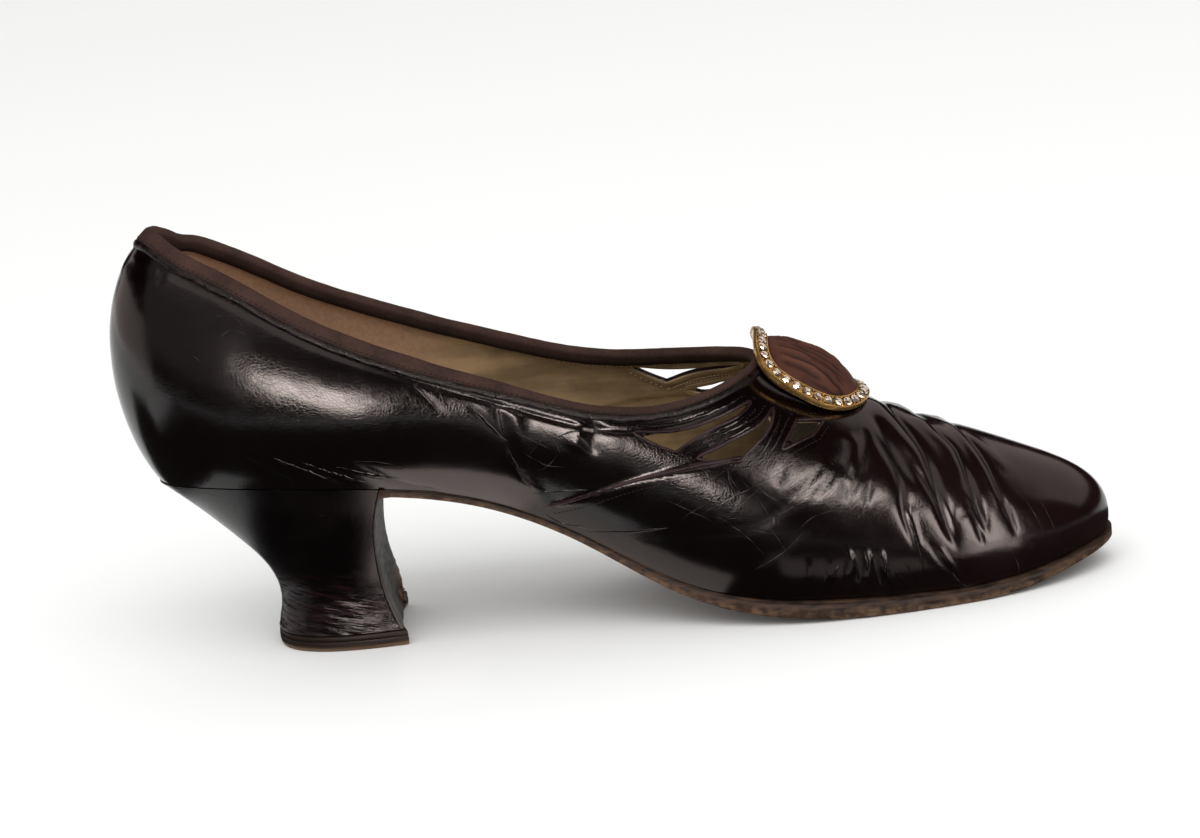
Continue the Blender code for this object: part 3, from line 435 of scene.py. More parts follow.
# Hairline scratches over the inner side, as (half width, line of (x, girth)).
SCRATCHES = (
    ("half", "line"),
    (0.11, ((156.4, 54.6), (160.9, 51.4), (167.1, 46.4), (172.8, 41.0))),
    (0.1, ((158.9, 39.0), (160.3, 43.3), (165.2, 45.4))),
    (0.1, ((153.0, 41.5), (153.5, 45.0), (154.9, 47.4))),
    (0.11, ((139.9, 53.6), (147.3, 46.2), (155.2, 39.8))),
    (0.11, ((145.9, 54.4), (154.4, 47.4), (162.2, 41.1), (168.0, 36.4))),
    (0.1, ((158.7, 37.6), (159.5, 40.9), (162.0, 43.1))),
    (0.09, ((148.0, 54.0), (155.0, 56.5), (160.0, 60.5))),
    (0.09, ((161.0, 52.0), (165.0, 57.0), (166.5, 62.0))),
    (0.09, ((157.3, 65.4), (165.2, 57.5), (170.0, 51.0))),
    (0.09, ((151.0, 58.5), (158.0, 55.0), (163.0, 54.0))),
    (0.08, ((131.7, 53.0), (140.5, 47.0), (149.2, 44.3), (156.5, 39.5))),
    (0.08, ((142.7, 42.3), (147.7, 43.6), (150.7, 45.0))),
    (0.09, ((152.9, 40.4), (153.5, 43.0), (155.0, 46.0))),
    (0.09, ((159.2, 36.3), (160.3, 39.7), (165.0, 39.3))),
    (0.08, ((149.9, 56.0), (156.5, 48.1), (163.6, 39.9))),
    (0.07, ((137.0, 53.5), (142.7, 54.6), (147.7, 56.0))),
    (0.07, ((156.5, 43.4), (159.2, 45.7), (162.2, 50.0))),
    (0.08, ((165.0, 47.8), (170.9, 40.2), (176.7, 33.8))),
    (0.07, ((168.0, 52.0), (173.0, 46.0), (179.0, 42.0))),
    (0.07, ((140.0, 58.0), (147.0, 52.0), (151.0, 50.5))),
    (0.08, ((103.0, 50.0), (108.5, 52.0), (113.0, 51.0))),
    (0.08, ((106.0, 54.5), (110.0, 50.5), (112.0, 46.0))),
    (0.1, ((27.9, 38.3), (31.5, 37.4))),
    (0.09, ((31.5, 37.4), (33.6, 37.6), (35.2, 39.0))),
    (0.1, ((30.0, 43.0), (31.2, 41.8), (32.4, 40.6))),
    (0.09, ((32.4, 40.6), (36.8, 40.4))),
    (0.08, ((24.5, 49.5), (27.5, 50.5))),
    (0.08, ((226.0, 22.0), (229.0, 27.0), (230.5, 33.0))),
    (0.08, ((220.5, 37.0), (223.0, 42.0), (223.5, 47.0))),
    (0.08, ((232.0, 24.0), (233.5, 30.0))),
    (0.08, ((205.0, 47.0), (209.0, 52.0), (213.0, 54.0))),
    (0.08, ((108.0, 66.0), (116.0, 68.0), (124.0, 66.5), (131.0, 67.5))),
    (0.08, ((62.0, 66.0), (70.0, 64.5), (77.0, 66.0))),
    (0.08, ((36.0, 52.0), (41.0, 55.0), (44.0, 59.0))),
)
SCRATCH_LIFT = 0.03

# Stitches: pitch along their row, half length, half width, and how far rows stand in from an edge.
STITCH_PITCH = 1.25
STITCH = (0.42, 0.13)
STITCH_LIFT = 0.02
LIP_ROW = 1.75
SEAM_ROW = (1.2, 1.6)
# The row inside, under the collar: its ends along the shoe and its distance under the edge.
INSIDE_ROW = (108.0, 158.0, 4.4)

# Camera: place and aim in metres, lens, and roll about its own axis.
CAMERA_PLACE = (0.00905, -0.8647, 0.2773)
CAMERA_AIM = (-0.0035, 0.0, 0.0492)
CAMERA_ROLL = math.radians(5.9)
CAMERA_LENS = 105.0
# Light boxes: azimuth from the camera's side towards the toe, elevation, roll, half angles, distance,
# radiance, and whether matt and glossy surfaces see them.
LIGHTS = {
    "front_box": (-10.7, 15.7, -30.0, 12.5, 3.7, 0.49, 18.5, False, True),
    "vamp_box": (30.6, 28.4, 28.0, 10.0, 2.7, 0.54, 14.0, False, True),
    "toe_box": (41.0, 12.0, 0.0, 6.5, 15.0, 1.5, 7.5, False, True),
    "quarter_panel": (-42.0, 24.0, 0.0, 26.0, 14.0, 1.7, 0.28, False, True),
    "heel_panel": (-103.0, 4.0, 0.0, 33.0, 14.0, 1.6, 0.85, False, True),
    "top_panel": (-18.0, 58.0, 0.0, 28.0, 21.0, 1.9, 1.0, False, True),
    "far_panel": (138.0, 40.0, 0.0, 50.0, 18.0, 2.2, 0.75, False, True),
    "ceiling": (0.0, 58.0, 0.0, 30.0, 22.0, 1.9, 1.9, True, False),
}
LIGHT_AIM = Vector((0.0, 0.0, 0.04))
LIGHT_TINT = (1.0, 0.85, 0.8)
SKY = 0.95
FLOOR_SIZE = 14.0
# Dark and lit cards on the floor, seen only in reflections: ends of the near and of the far edge along the
# shoe, near and far edge, and glow. Lit cards lie over dark ones.
CARD_HEIGHTS = (0.001, 0.0015)
CARDS = {
    "heel_card": ((-0.115, -0.058), (-0.115, -0.058), 0.03, -1.1, 0.0),
    "side_card": ((-0.3, -0.115), (-1.5, -0.115), -0.055, -1.1, 0.0),
    "waist_card": ((-0.058, -0.016), (-0.058, -0.016), -0.066, -1.1, 0.0),
    "toe_card": ((-0.016, 0.7), (-0.016, 0.7), 0.04, -1.1, 0.0),
    "rim_card": ((-0.5, -0.138), (-0.5, -0.138), 0.06, -0.055, 0.0),
    "waist_glow": ((-0.062, -0.038), (-0.062, -0.038), -0.024, -0.066, 2.2),
    "instep_glow": ((-0.038, 0.02), (-0.038, 0.02), -0.02, -0.045, 1.0),
    "pucker_glow": ((0.036, 0.085), (0.03, 0.095), -0.052, -0.09, 0.5),
    "toe_glow": ((0.111, 0.149), (0.426, 0.651), -0.075, -0.56, 4.5),
}


def length(name, description, value, low, high):
    return bpy.props.FloatProperty(
        name=name, description=description, default=value * MM, min=low * MM, max=high * MM, unit="LENGTH",
        precision=5)


def full_share(name, description):
    return bpy.props.FloatProperty(
        name=name, description=description, default=1.0, min=0.0, max=1.5, subtype="FACTOR")


def colour(name, description, value):
    return bpy.props.FloatVectorProperty(
        name=name, description=description, default=value, size=3, min=0.0, max=1.0, subtype="COLOR")


class ShoeSizes(bpy.types.PropertyGroup):
    """Sizes that change the shoe's wear and sewing."""

    cell: length("Finest cell", "Smallest cell of the leather's mesh", 0.58, 0.4, 3)
    leather: length("Leather", "Thickness of the kid", 0.9, 0.3, 2)
    lining: length("Lining", "Thickness of the lining", 0.5, 0.2, 1)
    creases: full_share("Creases", "Share of the creases' full depth")
    gathers: full_share("Gathers", "Share of the silk gathers' full depth")


class ShoeColours(bpy.types.PropertyGroup):
    """Colours of the shoe's materials."""

    kid: colour("Kid", "Glazed kid in its folds and flats", (0.0021, 0.0009, 0.0007))
    oxblood: colour("Oxblood", "Tint of the kid over toe and vamp", (0.0115, 0.0042, 0.0047))
    edge: colour("Folded edge", "Folded edges of the cut-outs and vamp", (0.026, 0.0085, 0.0105))
    rubbed: colour("Rubbed", "Kid rubbed dry in scuffs", (0.105, 0.088, 0.084))
    sole: colour("Sole edge", "Stained edge of the outsole", (0.085, 0.040, 0.020))
    raw: colour("Raw leather", "Worn leather of sole and heel", (0.28, 0.155, 0.080))
    breast: colour("Breast", "Leather down the heel breast", (0.055, 0.048, 0.044))
    lining: colour("Lining", "Leather lining of the quarters", (0.40, 0.27, 0.14))
    cloth: colour("Cloth", "Twill lining of the vamp", (0.50, 0.445, 0.335))
    suede: colour("Suede", "Grip inside the heel", (0.50, 0.30, 0.185))
    sock: colour("Sock", "Leather sock over the insole", (0.175, 0.13, 0.07))
    ribbon: colour("Ribbon", "Ribbon bound over the collar", (0.042, 0.0205, 0.0155))
    silk: colour("Silk", "Puffed silk in the buckle", (0.070, 0.023, 0.013))
    gilt: colour("Gilt", "Gilt metal of the buckle", (0.60, 0.37, 0.12))
    paste: colour("Paste", "Foiled paste stones", (0.92, 0.87, 0.78))
    thread: colour("Thread", "Sewing thread of the lining", (0.52, 0.36, 0.20))
    purl: colour("Outer thread", "Sewing thread round the cut-outs", (0.018, 0.010, 0.010))
    floor: colour("Floor", "Plain floor", (0.86, 0.86, 0.85))


def sizes():
    return bpy.context.scene.shoe_sizes


def colours():
    return bpy.context.scene.shoe_colours


def spline(knots, values, at):
    """Natural cubic spline through values at the rising knots."""
    knots, values = np.asarray(knots, float), np.asarray(values, float)
    gaps = np.diff(knots)
    rises = np.diff(values) / gaps
    count = len(knots)
    matrix, right = np.eye(count), np.zeros(count)
    for i in range(1, count - 1):
        matrix[i, i - 1 : i + 2] = gaps[i - 1], 2 * (gaps[i - 1] + gaps[i]), gaps[i]
        right[i] = 6 * (rises[i] - rises[i - 1])
    bends = np.linalg.solve(matrix, right)
    at = np.asarray(at, float)
    i = np.clip(np.searchsorted(knots, at) - 1, 0, count - 2)
    gap, ahead, behind = gaps[i], knots[i + 1] - at, at - knots[i]
    return (
        (bends[i] * ahead**3 + bends[i + 1] * behind**3) / (6 * gap)
        + (values[i] / gap - bends[i] * gap / 6) * ahead
        + (values[i + 1] / gap - bends[i + 1] * gap / 6) * behind
    )


def read(table, name, at):
    """A named column of a table, read smoothly against its first column."""
    place = table[0].index(name)
    return spline([row[0] for row in table[1:]], [row[place] for row in table[1:]], at)


def ridge_height(x):
    return read(RIDGE, "z", x)


def topline_height(x, y):
    """Height of the collar's cut, passing from the inner to the outer quarter's line across the foot."""
    inner, outer = read(TOPLINE, "inner_z", x), read(TOPLINE, "outer_z", x)
    return inner + (outer - inner) * (0.5 + y / TOPLINE_WIDTH)


def soft_step(value, low, high):
    """0 below low, 1 above high, and a smooth passage between."""
    share = np.clip((np.asarray(value, float) - low) / (high - low), 0, 1)
    return share * share * (3 - 2 * share)


def unit(vectors):
    return vectors / np.maximum(np.linalg.norm(vectors, axis=-1, keepdims=True), 1e-12)


def run_lengths(points):
    """Lengths along a line of points, from its start."""
    return np.concatenate([[0.0], np.cumsum(np.linalg.norm(np.diff(points, axis=0), axis=1))])


def smooth_line(points, step):
    """Points at a step along a smooth line through a few of them."""
    points = np.asarray(points, float)
    lengths = run_lengths(points)
    count = max(int(math.ceil(lengths[-1] / step)), 2)
    at = np.linspace(0, lengths[-1], count + 1)
    return np.stack([spline(lengths, points[:, i], at) for i in range(points.shape[1])], -1)


def cutout_loop(name, step):
    """A cut-out's closed outline, smooth between its sharp corners."""
    corners, *points = CUTOUTS[name]
    line = []
    for first, second in zip(corners, corners[1:] + corners[:1]):
        end = second if second > first else second + len(points)
        stretch = [points[i % len(points)] for i in range(first, end + 1)]
        line.append(smooth_line(stretch, step)[:-1])
    return np.concatenate(line)


def lumps(points, size, seed):
    """Smooth unevenness between about -1 and 1 over points in millimetres."""
    shift = Vector((seed, 2.3 * seed, 3.1 * seed))
    flat = np.asarray(points, float).reshape(-1, 3) / size
    values = [noise.noise(Vector(point) + shift) for point in flat.tolist()]
    return np.array(values).reshape(np.asarray(points).shape[:-1])


def uneven(points, table):
    """Lumps of several heights and sizes together."""
    return sum(height * lumps(points, size, seed) for height, size, seed in table)


class Last:
    """The last's surface: stations 0 and 1 at the toe tip, inner side first, v from sole edge to ridge."""

    def __init__(self):
        rows = SECTIONS[1:]
        table = {name: [row[i] for row in rows] for i, name in enumerate(SECTIONS[0])}
        inner, outer = slice(None, 0, -1), slice(None)

        def ring(first, second):
            return np.array(list(table[first][inner]) + list(table[second][outer]))

        signs = [-1.0] * (len(rows) - 1) + [1.0] * len(rows)
        self.edge_x = ring("edge_x", "edge_x")
        self.edge_y = ring("edge_in", "edge_out") * signs
        steps = np.hypot(np.diff(self.edge_x), np.diff(self.edge_y)) ** 0.5
        self.knots = np.concatenate([[0.0], np.cumsum(steps)]) / steps.sum()
        self.heel_station = self.knots[len(rows) - 1]
        self.heel_x, self.toe_x = self.edge_x.min(), self.edge_x.max()
        self.columns = {
            "edge_x": self.edge_x,
            "edge_y": self.edge_y,
            "edge_z": ring("edge_z", "edge_z"),
            "ridge_x": ring("ridge_x", "ridge_x"),
            "lean": np.radians(ring("lean", "lean")),
            "low": ring("low", "low"),
            "high": ring("high_in", "high_out"),
        }

    def column(self, name, at):
        """A column of the table at any station, carried smoothly round the toe."""
        knots, values = self.knots, self.columns[name]
        wrap = 4
        knots = np.concatenate([knots[-1 - wrap : -1] - 1, knots, knots[1 : wrap + 1] + 1])
        values = np.concatenate([values[-1 - wrap : -1], values, values[1 : wrap + 1]])
        return spline(knots, values, np.mod(at, 1.0))

    def poles(self, at):
        """The four poles of each half section's curve."""
        at = np.asarray(at, float)
        edge = self.edge(at)
        ridge_x = self.column("ridge_x", at)
        ridge = np.stack([ridge_x, 0 * ridge_x, ridge_height(ridge_x)], -1)
        across = unit((edge - ridge) * (1, 1, 0))
        start, full = RIDGE_SLOPES
        slope = ridge_height(ridge_x + 0.5) - ridge_height(ridge_x - 0.5)
        slope *= np.clip((ridge_x - start) / (full - start), 0, 1)
        along_top = across + np.stack([0 * slope, 0 * slope, across[..., 0] * slope], -1)
        lean, low = self.column("lean", at)[..., None], self.column("low", at)[..., None]
        up = np.array((0.0, 0.0, 1.0))
        return (
            edge,
            edge + low * (across * np.cos(lean) + up * np.sin(lean)),
            ridge + self.column("high", at)[..., None] * along_top,
            ridge,
        )

    def surface(self, at, v):
        """Points of the outer surface for arrays of stations and heights of one shape."""
        edge, low, high, ridge = self.poles(at)
        v = np.asarray(v, float)[..., None]
        u = 1 - v
        return u**3 * edge + 3 * u**2 * v * low + 3 * u * v**2 * high + v**3 * ridge

    def normal(self, at, v):
        """Outward unit normal of the surface."""
        step = 1e-4
        low, high = np.maximum(np.asarray(v) - step, 0), np.minimum(np.asarray(v) + step, 1)
        along = self.surface(at + step, v) - self.surface(at - step, v)
        up = self.surface(at, high) - self.surface(at, low)
        return unit(np.cross(up, along))

    def girths(self, at, samples=160):
        """Heights down each section from the ridge, with their girths measured along the surface."""
        v = np.linspace(1, 0, samples)
        lines = self.surface(np.asarray(at)[:, None] * np.ones(samples), np.ones((len(at), 1)) * v)
        steps = np.linalg.norm(np.diff(lines, axis=1), axis=2)
        return v, np.concatenate([np.zeros((len(at), 1)), np.cumsum(steps, axis=1)], axis=1)

    def girth_points(self, side, line):
        """Points and normals of the surface along a line of (x, girth) on one side."""
        at = np.array([self.station(side, x) for x in line[:, 0]])
        v, girths = self.girths(at)
        heights = np.array([np.interp(girth, row, v) for girth, row in zip(line[:, 1], girths)])
        return self.surface(at, heights), self.normal(at, heights)

    def topline(self, at):
        """Height on each section where the collar is cut."""
        low, high = np.full(len(at), 0.02), np.ones(len(at))
        for _ in range(40):
            middle = (low + high) / 2
            point = self.surface(at, middle)
            under = point[:, 2] < topline_height(point[:, 0], point[:, 1])
            low, high = np.where(under, middle, low), np.where(under, high, middle)
        return (low + high) / 2

    def throat(self, side):
        """The station where the collar's cut meets the ridge."""
        low, high = 130.0, 190.0
        for _ in range(40):
            middle = (low + high) / 2
            point = self.surface(self.station(side, middle), 1.0)
            if point[2] > topline_height(point[0], point[1]):
                low = middle
            else:
                high = middle
        return self.station(side, low)

    def edge(self, at):
        return np.stack([self.column(name, at) for name in ("edge_x", "edge_y", "edge_z")], -1)

    def outward(self, at):
        """Level direction away from the last at a point of its edge."""
        run = self.edge(at + 1e-4) - self.edge(at - 1e-4)
        return unit(np.stack([-run[..., 1], run[..., 0], 0 * run[..., 0]], -1))

    def station(self, side, x):
        """The station of an edge point on the inner (-1) or outer (1) side."""
        heel = self.heel_station
        along = np.linspace(0, heel, 600) if side < 0 else np.linspace(heel, 1, 600)
        lengths = self.column("edge_x", np.clip(along, 0, 1 - 1e-9))
        if side < 0:
            along, lengths = along[::-1], lengths[::-1]
        return float(np.interp(x, lengths, along))

    def spaced(self, start, end, cell):
        """Stations between two, closest together over the creases and cut-outs."""
        fine = np.linspace(start, end, 4000)
        edge = self.edge(np.clip(fine, 0, 1 - 1e-9))
        steps = np.linalg.norm(np.diff(edge, axis=0), axis=1)
        counts = steps / (cell * np.interp(edge[:-1, 0], *CELLS))
        counts = np.concatenate([[0.0], np.cumsum(counts)])
        return np.interp(np.linspace(0, counts[-1], int(math.ceil(counts[-1])) + 1), counts, fine)

    def collar_stations(self, cell):
        """Stations from the inner end of the throat round the heel to its outer end."""
        inner, outer = self.throat(-1), self.throat(1)
        near = np.array(NEAR_THROAT) * THROAT_SPAN
        back_inner = self.spaced(inner + THROAT_SPAN, self.heel_station, cell)
        back_outer = self.spaced(self.heel_station, outer - THROAT_SPAN, cell)
        return np.concatenate(
            [[inner], inner + near, back_inner, back_outer[1:], outer - near[::-1], [outer]])


def nearest_on(path, reach, x, girth):
    """Which points lie near a path, their offsets and distances from it, and its places closest to them."""
    low, high = path.min(axis=0) - reach, path.max(axis=0) + reach
    near = (x > low[0]) & (x < high[0]) & (girth > low[1]) & (girth < high[1])
    away = np.stack([x[near], girth[near]], -1)[:, None, :] - path[None]
    squares = (away**2).sum(axis=2)
    closest = squares.argmin(axis=1)
    pairs = np.arange(len(closest)), closest
    return near, away[pairs], np.sqrt(squares[pairs]), closest


def crease_relief(table, x, girth):
    """Relief, fold mask and sharp line that a table of creases gives at points of (x, girth).

    A valley is a cusp with long flanks, so that the leather between two of them stands plump.
    """
    relief, mask, sharp = np.zeros(x.shape), np.zeros(x.shape), np.zeros(x.shape)
    for depth, width, line in table[1:]:
        path = smooth_line(line, CREASE_STEP)
        near, _, distance, closest = nearest_on(path, CREASE_REACH * width, x, girth)
        distance = distance / width
        share = closest / (len(path) - 1)
        taper = soft_step(share, 0, CREASE_TAPER) * soft_step(1 - share, 0, CREASE_TAPER)
        line_mask = np.exp(-(distance**2)) * taper
        valley = np.exp(CUSP - np.sqrt(distance**2 + CUSP**2)) * taper
        relief[near] -= depth * (valley if depth > 0 else line_mask)
        mask[near] = np.maximum(mask[near], line_mask * min(1.0, max(depth, 0) / FULL_FOLD))
        hair = np.exp(-((distance * width / HAIR) ** 2)) * taper * min(1.0, max(depth, 0) / FULL_LINE)
        sharp[near] = np.maximum(sharp[near], hair)
    return relief, mask, sharp


def seam_drop(x, girth):
    """How far the quarter lies under the vamp's edge."""
    path = smooth_line(SEAM, CREASE_STEP)
    drop = np.zeros(x.shape)
    near, offset, distance, closest = nearest_on(path, SEAM_FADE, x, girth)
    run = np.gradient(path, axis=0)[closest]
    distance = distance * np.sign(run[:, 0] * offset[:, 1] - run[:, 1] * offset[:, 0])
    ends = soft_step(closest, 0, 6) * soft_step(len(path) - 1 - closest, 0, 6)
    fall = soft_step(distance, -0.4, 0.9) * np.clip(1 - distance / SEAM_FADE, 0, 1)
    drop[near] = SEAM_STEP * fall * ends
    return drop


def worn(points, girth, under_collar, spread=1.0):
    """Relief of the worn upper at points with their signed girths and distances under the collar's edge.

    With a spread over 1 the valleys are wider and the ridges are left out, to lie clear under the kid.
    """
    x = points[..., 0]
    creases = CREASES
    if spread > 1:
        creases = [row if row[0] == "depth" else (row[0], spread * row[1], row[2])
                   for row in CREASES if row[0] == "depth" or row[0] > 0]
    relief, folds, lines = crease_relief(creases, x, girth)
    relief *= sizes().creases
    relief -= seam_drop(x, np.abs(girth))
    relief += uneven(points, UNEVEN)
    depth, place, width = COLLAR_GROOVE
    relief -= depth * np.exp(-(((under_collar - place) / width) ** 2))
    crumple = soft_step(-x, *CRUMPLE_START) * np.exp(-((under_collar / CRUMPLE_REACH) ** 2))
    relief += crumple * uneven(points, CRUMPLE)
    return relief, folds, lines


def collar_lift(points):
    """How far the worn collar stands above or below its cut, near its back."""
    lift = np.zeros(points.shape[:-1])
    for up, place, width in COLLAR_LIFTS[1:]:
        lift += up * np.exp(-((points - place) ** 2).sum(axis=-1) / width**2)
    return lift


def metres(points):
    return (np.asarray(points, float) - ORIGIN) * MM


def deselect_all():
    if bpy.context.mode != "OBJECT":
        bpy.ops.object.mode_set(mode="OBJECT")
    bpy.ops.object.select_all(action="DESELECT")


def added(primitive, name, **settings):
    """A new primitive under its own name, alone selected."""
    deselect_all()
    primitive(**settings)
    piece = bpy.context.object
    piece.name = piece.data.name = name
    return piece


def choose(piece):
    """Makes a piece the active one and the only one selected."""
    deselect_all()
    bpy.context.view_layer.objects.active = piece
    piece.select_set(True)


def sheet_piece(name, points, **values):
    """A grid primitive laid through rows of points, with its named values at each of them."""
    rows, columns = points.shape[:2]
    piece = added(bpy.ops.mesh.primitive_grid_add, name, x_subdivisions=columns - 1, y_subdivisions=rows - 1,
                  size=1)
    piece.data.vertices.foreach_set("co", metres(points).astype(np.float32).ravel())
    for label, value in values.items():
        layer = piece.data.attributes.new(label, "FLOAT", "POINT")
        layer.data.foreach_set("value", np.asarray(value, np.float32).ravel())
    piece.data.update()
    return piece


def in_edit_mode(piece, *steps):
    """Runs edit-mode steps with the whole mesh selected."""
    choose(piece)
    bpy.ops.object.mode_set(mode="EDIT")
    bpy.ops.mesh.select_all(action="SELECT")
    for step in steps:
        step()
    bpy.ops.object.mode_set(mode="OBJECT")


def merge(distance=0.004):
    return lambda: bpy.ops.mesh.remove_doubles(threshold=distance * MM)


def face_outwards():
    bpy.ops.mesh.normals_make_consistent(inside=False)


def close_ends():
    bpy.ops.mesh.select_all(action="DESELECT")
    bpy.ops.mesh.select_non_manifold()
    bpy.ops.mesh.edge_face_add()
    bpy.ops.mesh.select_all(action="SELECT")


def apply_modifier(piece, kind, **settings):
    choose(piece)
    modifier = piece.modifiers.new(kind.lower(), kind)
    for name, value in settings.items():
        setattr(modifier, name, value)
    bpy.ops.object.modifier_apply(modifier=modifier.name)


def wrapped(rings):
    """Rings with their first point again at their end."""
    return np.concatenate([rings, rings[:, :1]], axis=1)


def swept_piece(name, rings, closed, **values):
    """A solid through rings of points: a ring of rings, or a rod with closed ends."""
    rings = wrapped(rings)
    spread = {label: wrapped(v) for label, v in values.items()}
    if closed:
        rings = np.concatenate([rings, rings[:1]])
        spread = {label: np.concatenate([v, v[:1]]) for label, v in spread.items()}
    piece = sheet_piece(name, rings, **spread)
    in_edit_mode(piece, merge(), *(() if closed else (close_ends,)), face_outwards)
    return piece


def joined_piece(name, template, frames):
    """One mesh of many copies of a small template, each placed by its own axes and point in millimetres."""
    base = np.array([v.co for v in template.data.vertices])
    loops = [tuple(face.vertices) for face in template.data.polygons]
    points, faces = [], []
    for axes, place in frames:
        start = len(points) * len(base)
        points.append(base @ np.asarray(axes) * MM + metres(place))
        faces += [tuple(start + i for i in loop) for loop in loops]
    mesh = bpy.data.meshes.new(name)
    mesh.from_pydata(np.concatenate(points).tolist(), [], faces)
    piece = bpy.data.objects.new(name, mesh)
    bpy.context.collection.objects.link(piece)
    bpy.data.objects.remove(template)
    return piece


def settle(piece, material, slot, *nodes, angle=40.0):
    """Shades and paints a piece, fixes it to the body, and hides the solids that it replaces."""
    choose(piece)
    bpy.ops.object.shade_smooth_by_angle(angle=math.radians(angle))
    piece.data.materials.clear()
    piece.data.materials.append(material)
    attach(piece, BODY)
    if nodes:
        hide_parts(*nodes)
    return piece


class Wiring:
    """Adds nodes to a tree and joins them."""

    def __init__(self, tree):
        self.tree = tree

    def add(self, kind, inputs=None, **settings):
        made = self.tree.nodes.new(kind)
        for name, value in settings.items():
            setattr(made, name, value)
        for name, value in (inputs or {}).items():
            self.put(made.inputs[name], value)
        return made

    def put(self, socket, value):
        if isinstance(value, bpy.types.NodeSocket):
            self.tree.links.new(value, socket)
        else:
            socket.default_value = value

    def place(self):
        return self.add("ShaderNodeTexCoord").outputs["Object"]

    def surface(self):
        return self.add("ShaderNodeTexCoord").outputs["UV"]

    def value_at(self, name):
        return self.add("ShaderNodeAttribute", attribute_name=name).outputs["Fac"]

    def noise(self, vector, scale, detail=3.0, roughness=0.55):
        inputs = {"Vector": vector, "Scale": scale, "Detail": detail, "Roughness": roughness}
        return self.add("ShaderNodeTexNoise", inputs).outputs["Fac"]

    def cell_edges(self, vector, scale):
        inputs = {"Vector": vector, "Scale": scale}
        return self.add("ShaderNodeTexVoronoi", inputs, feature="DISTANCE_TO_EDGE").outputs["Distance"]

    def math(self, operation, first, second=0.0):
        return self.add("ShaderNodeMath", {0: first, 1: second}, operation=operation).outputs[0]

    def times(self, first, second):
        return self.math("MULTIPLY", first, second)

    def plus(self, first, second):
        return self.math("ADD", first, second)

    def span(self, value, low, high, to_low=0.0, to_high=1.0):
        inputs = {"Value": value, "From Min": low, "From Max": high, "To Min": to_low, "To Max": to_high}
        return self.add("ShaderNodeMapRange", inputs, interpolation_type="SMOOTHSTEP").outputs["Result"]

    def mix(self, factor, first, second):
        inputs = {0: factor, 6: first, 7: second}
        return self.add("ShaderNodeMix", inputs, data_type="RGBA").outputs[2]

    def mapped(self, vector, scale=(1.0, 1.0, 1.0), turn=(0.0, 0.0, 0.0)):
        inputs = {"Vector": vector, "Scale": scale, "Rotation": turn}
        return self.add("ShaderNodeMapping", inputs).outputs[0]

    def bump(self, height, distance, strength=1.0, normal=None):
        inputs = {"Height": height, "Distance": distance, "Strength": strength}
        if normal is not None:
            inputs["Normal"] = normal
        return self.add("ShaderNodeBump", inputs).outputs[0]


def rgba(value, share=1.0):
    return (*(min(1.0, part * share) for part in value), 1.0)


def dye(name, share=1.0):
    """One of the shoe's colours, darkened or brightened by a share."""
    return rgba(getattr(colours(), name), share)


def node_group(name, inputs, outputs, build):
    """A shared effect, built once: inputs are (name, kind, default), and build returns its outputs."""
    tree = bpy.data.node_groups.get(name)
    if tree:
        return tree
    tree = bpy.data.node_groups.new(name, "ShaderNodeTree")
    for label, kind, default in inputs:
        socket = tree.interface.new_socket(label, in_out="INPUT", socket_type=kind)
        if default is not None:
            socket.default_value = default
    for label in outputs:
        tree.interface.new_socket(label, in_out="OUTPUT", socket_type="NodeSocketFloat")
    wiring = Wiring(tree)
    entry = wiring.add("NodeGroupInput").outputs
    wiring.add("NodeGroupOutput", dict(zip(outputs, build(wiring, entry))))
    return tree


VECTOR_AND_SCALE = (("Vector", "NodeSocketVector", None), ("Scale", "NodeSocketFloat", 1.0))


def kid_grain():
    """Fine pebble and hair cracks of glazed kid."""

    def build(w, entry):
        vector, scale = entry["Vector"], entry["Scale"]
        pebble = w.span(w.cell_edges(vector, scale), 0.0, 0.22)
        wide = w.cell_edges(vector, w.times(scale, 0.36))
        patch = w.noise(vector, w.times(scale, 0.045), 2.0)
        crack = w.times(w.span(wide, 0.06, 0.0), w.span(patch, 0.42, 0.62))
        fine = w.noise(vector, w.times(scale, 2.0), 2.0)
        height = w.plus(w.times(pebble, 0.5), w.times(fine, 0.3))
        pore = w.math("SUBTRACT", 1.0, pebble)
        return w.math("SUBTRACT", height, w.times(crack, 0.5)), crack, pore

    return node_group("kid_grain", VECTOR_AND_SCALE, ("Height", "Crack", "Pore"), build)


def wear_marks():
    """Scratches and rubbed patches."""

    def build(w, entry):
        vector, scale = entry["Vector"], entry["Scale"]
        streak = w.noise(w.mapped(vector, (1.0, 1.0, 14.0), (0.4, 0.9, 0.3)), scale, 4.0)
        patch = w.noise(vector, w.times(scale, 0.3), 4.0)
        scratch = w.times(w.span(streak, 0.66, 0.72), w.span(patch, 0.5, 0.62))
        return scratch, w.span(patch, 0.38, 0.7)

    return node_group("wear_marks", VECTOR_AND_SCALE, ("Scratch", "Patch"), build)


def weave():
    """Twill or plain cloth threads over a flat pattern."""

    def build(w, entry):
        vector, scale = entry["Vector"], entry["Scale"]
        lines = []
        for turn in (0.0, math.pi / 2):
            turned = w.mapped(vector, turn=(0.0, 0.0, turn + 0.6))
            inputs = {"Vector": turned, "Scale": scale, "Distortion": 1.2, "Detail": 1.0}
            lines.append(w.add("ShaderNodeTexWave", inputs).outputs["Fac"])
        return (w.math("MAXIMUM", w.times(lines[0], 1.0), w.times(lines[1], 0.7)),)

    return node_group("weave", VECTOR_AND_SCALE, ("Height",), build)


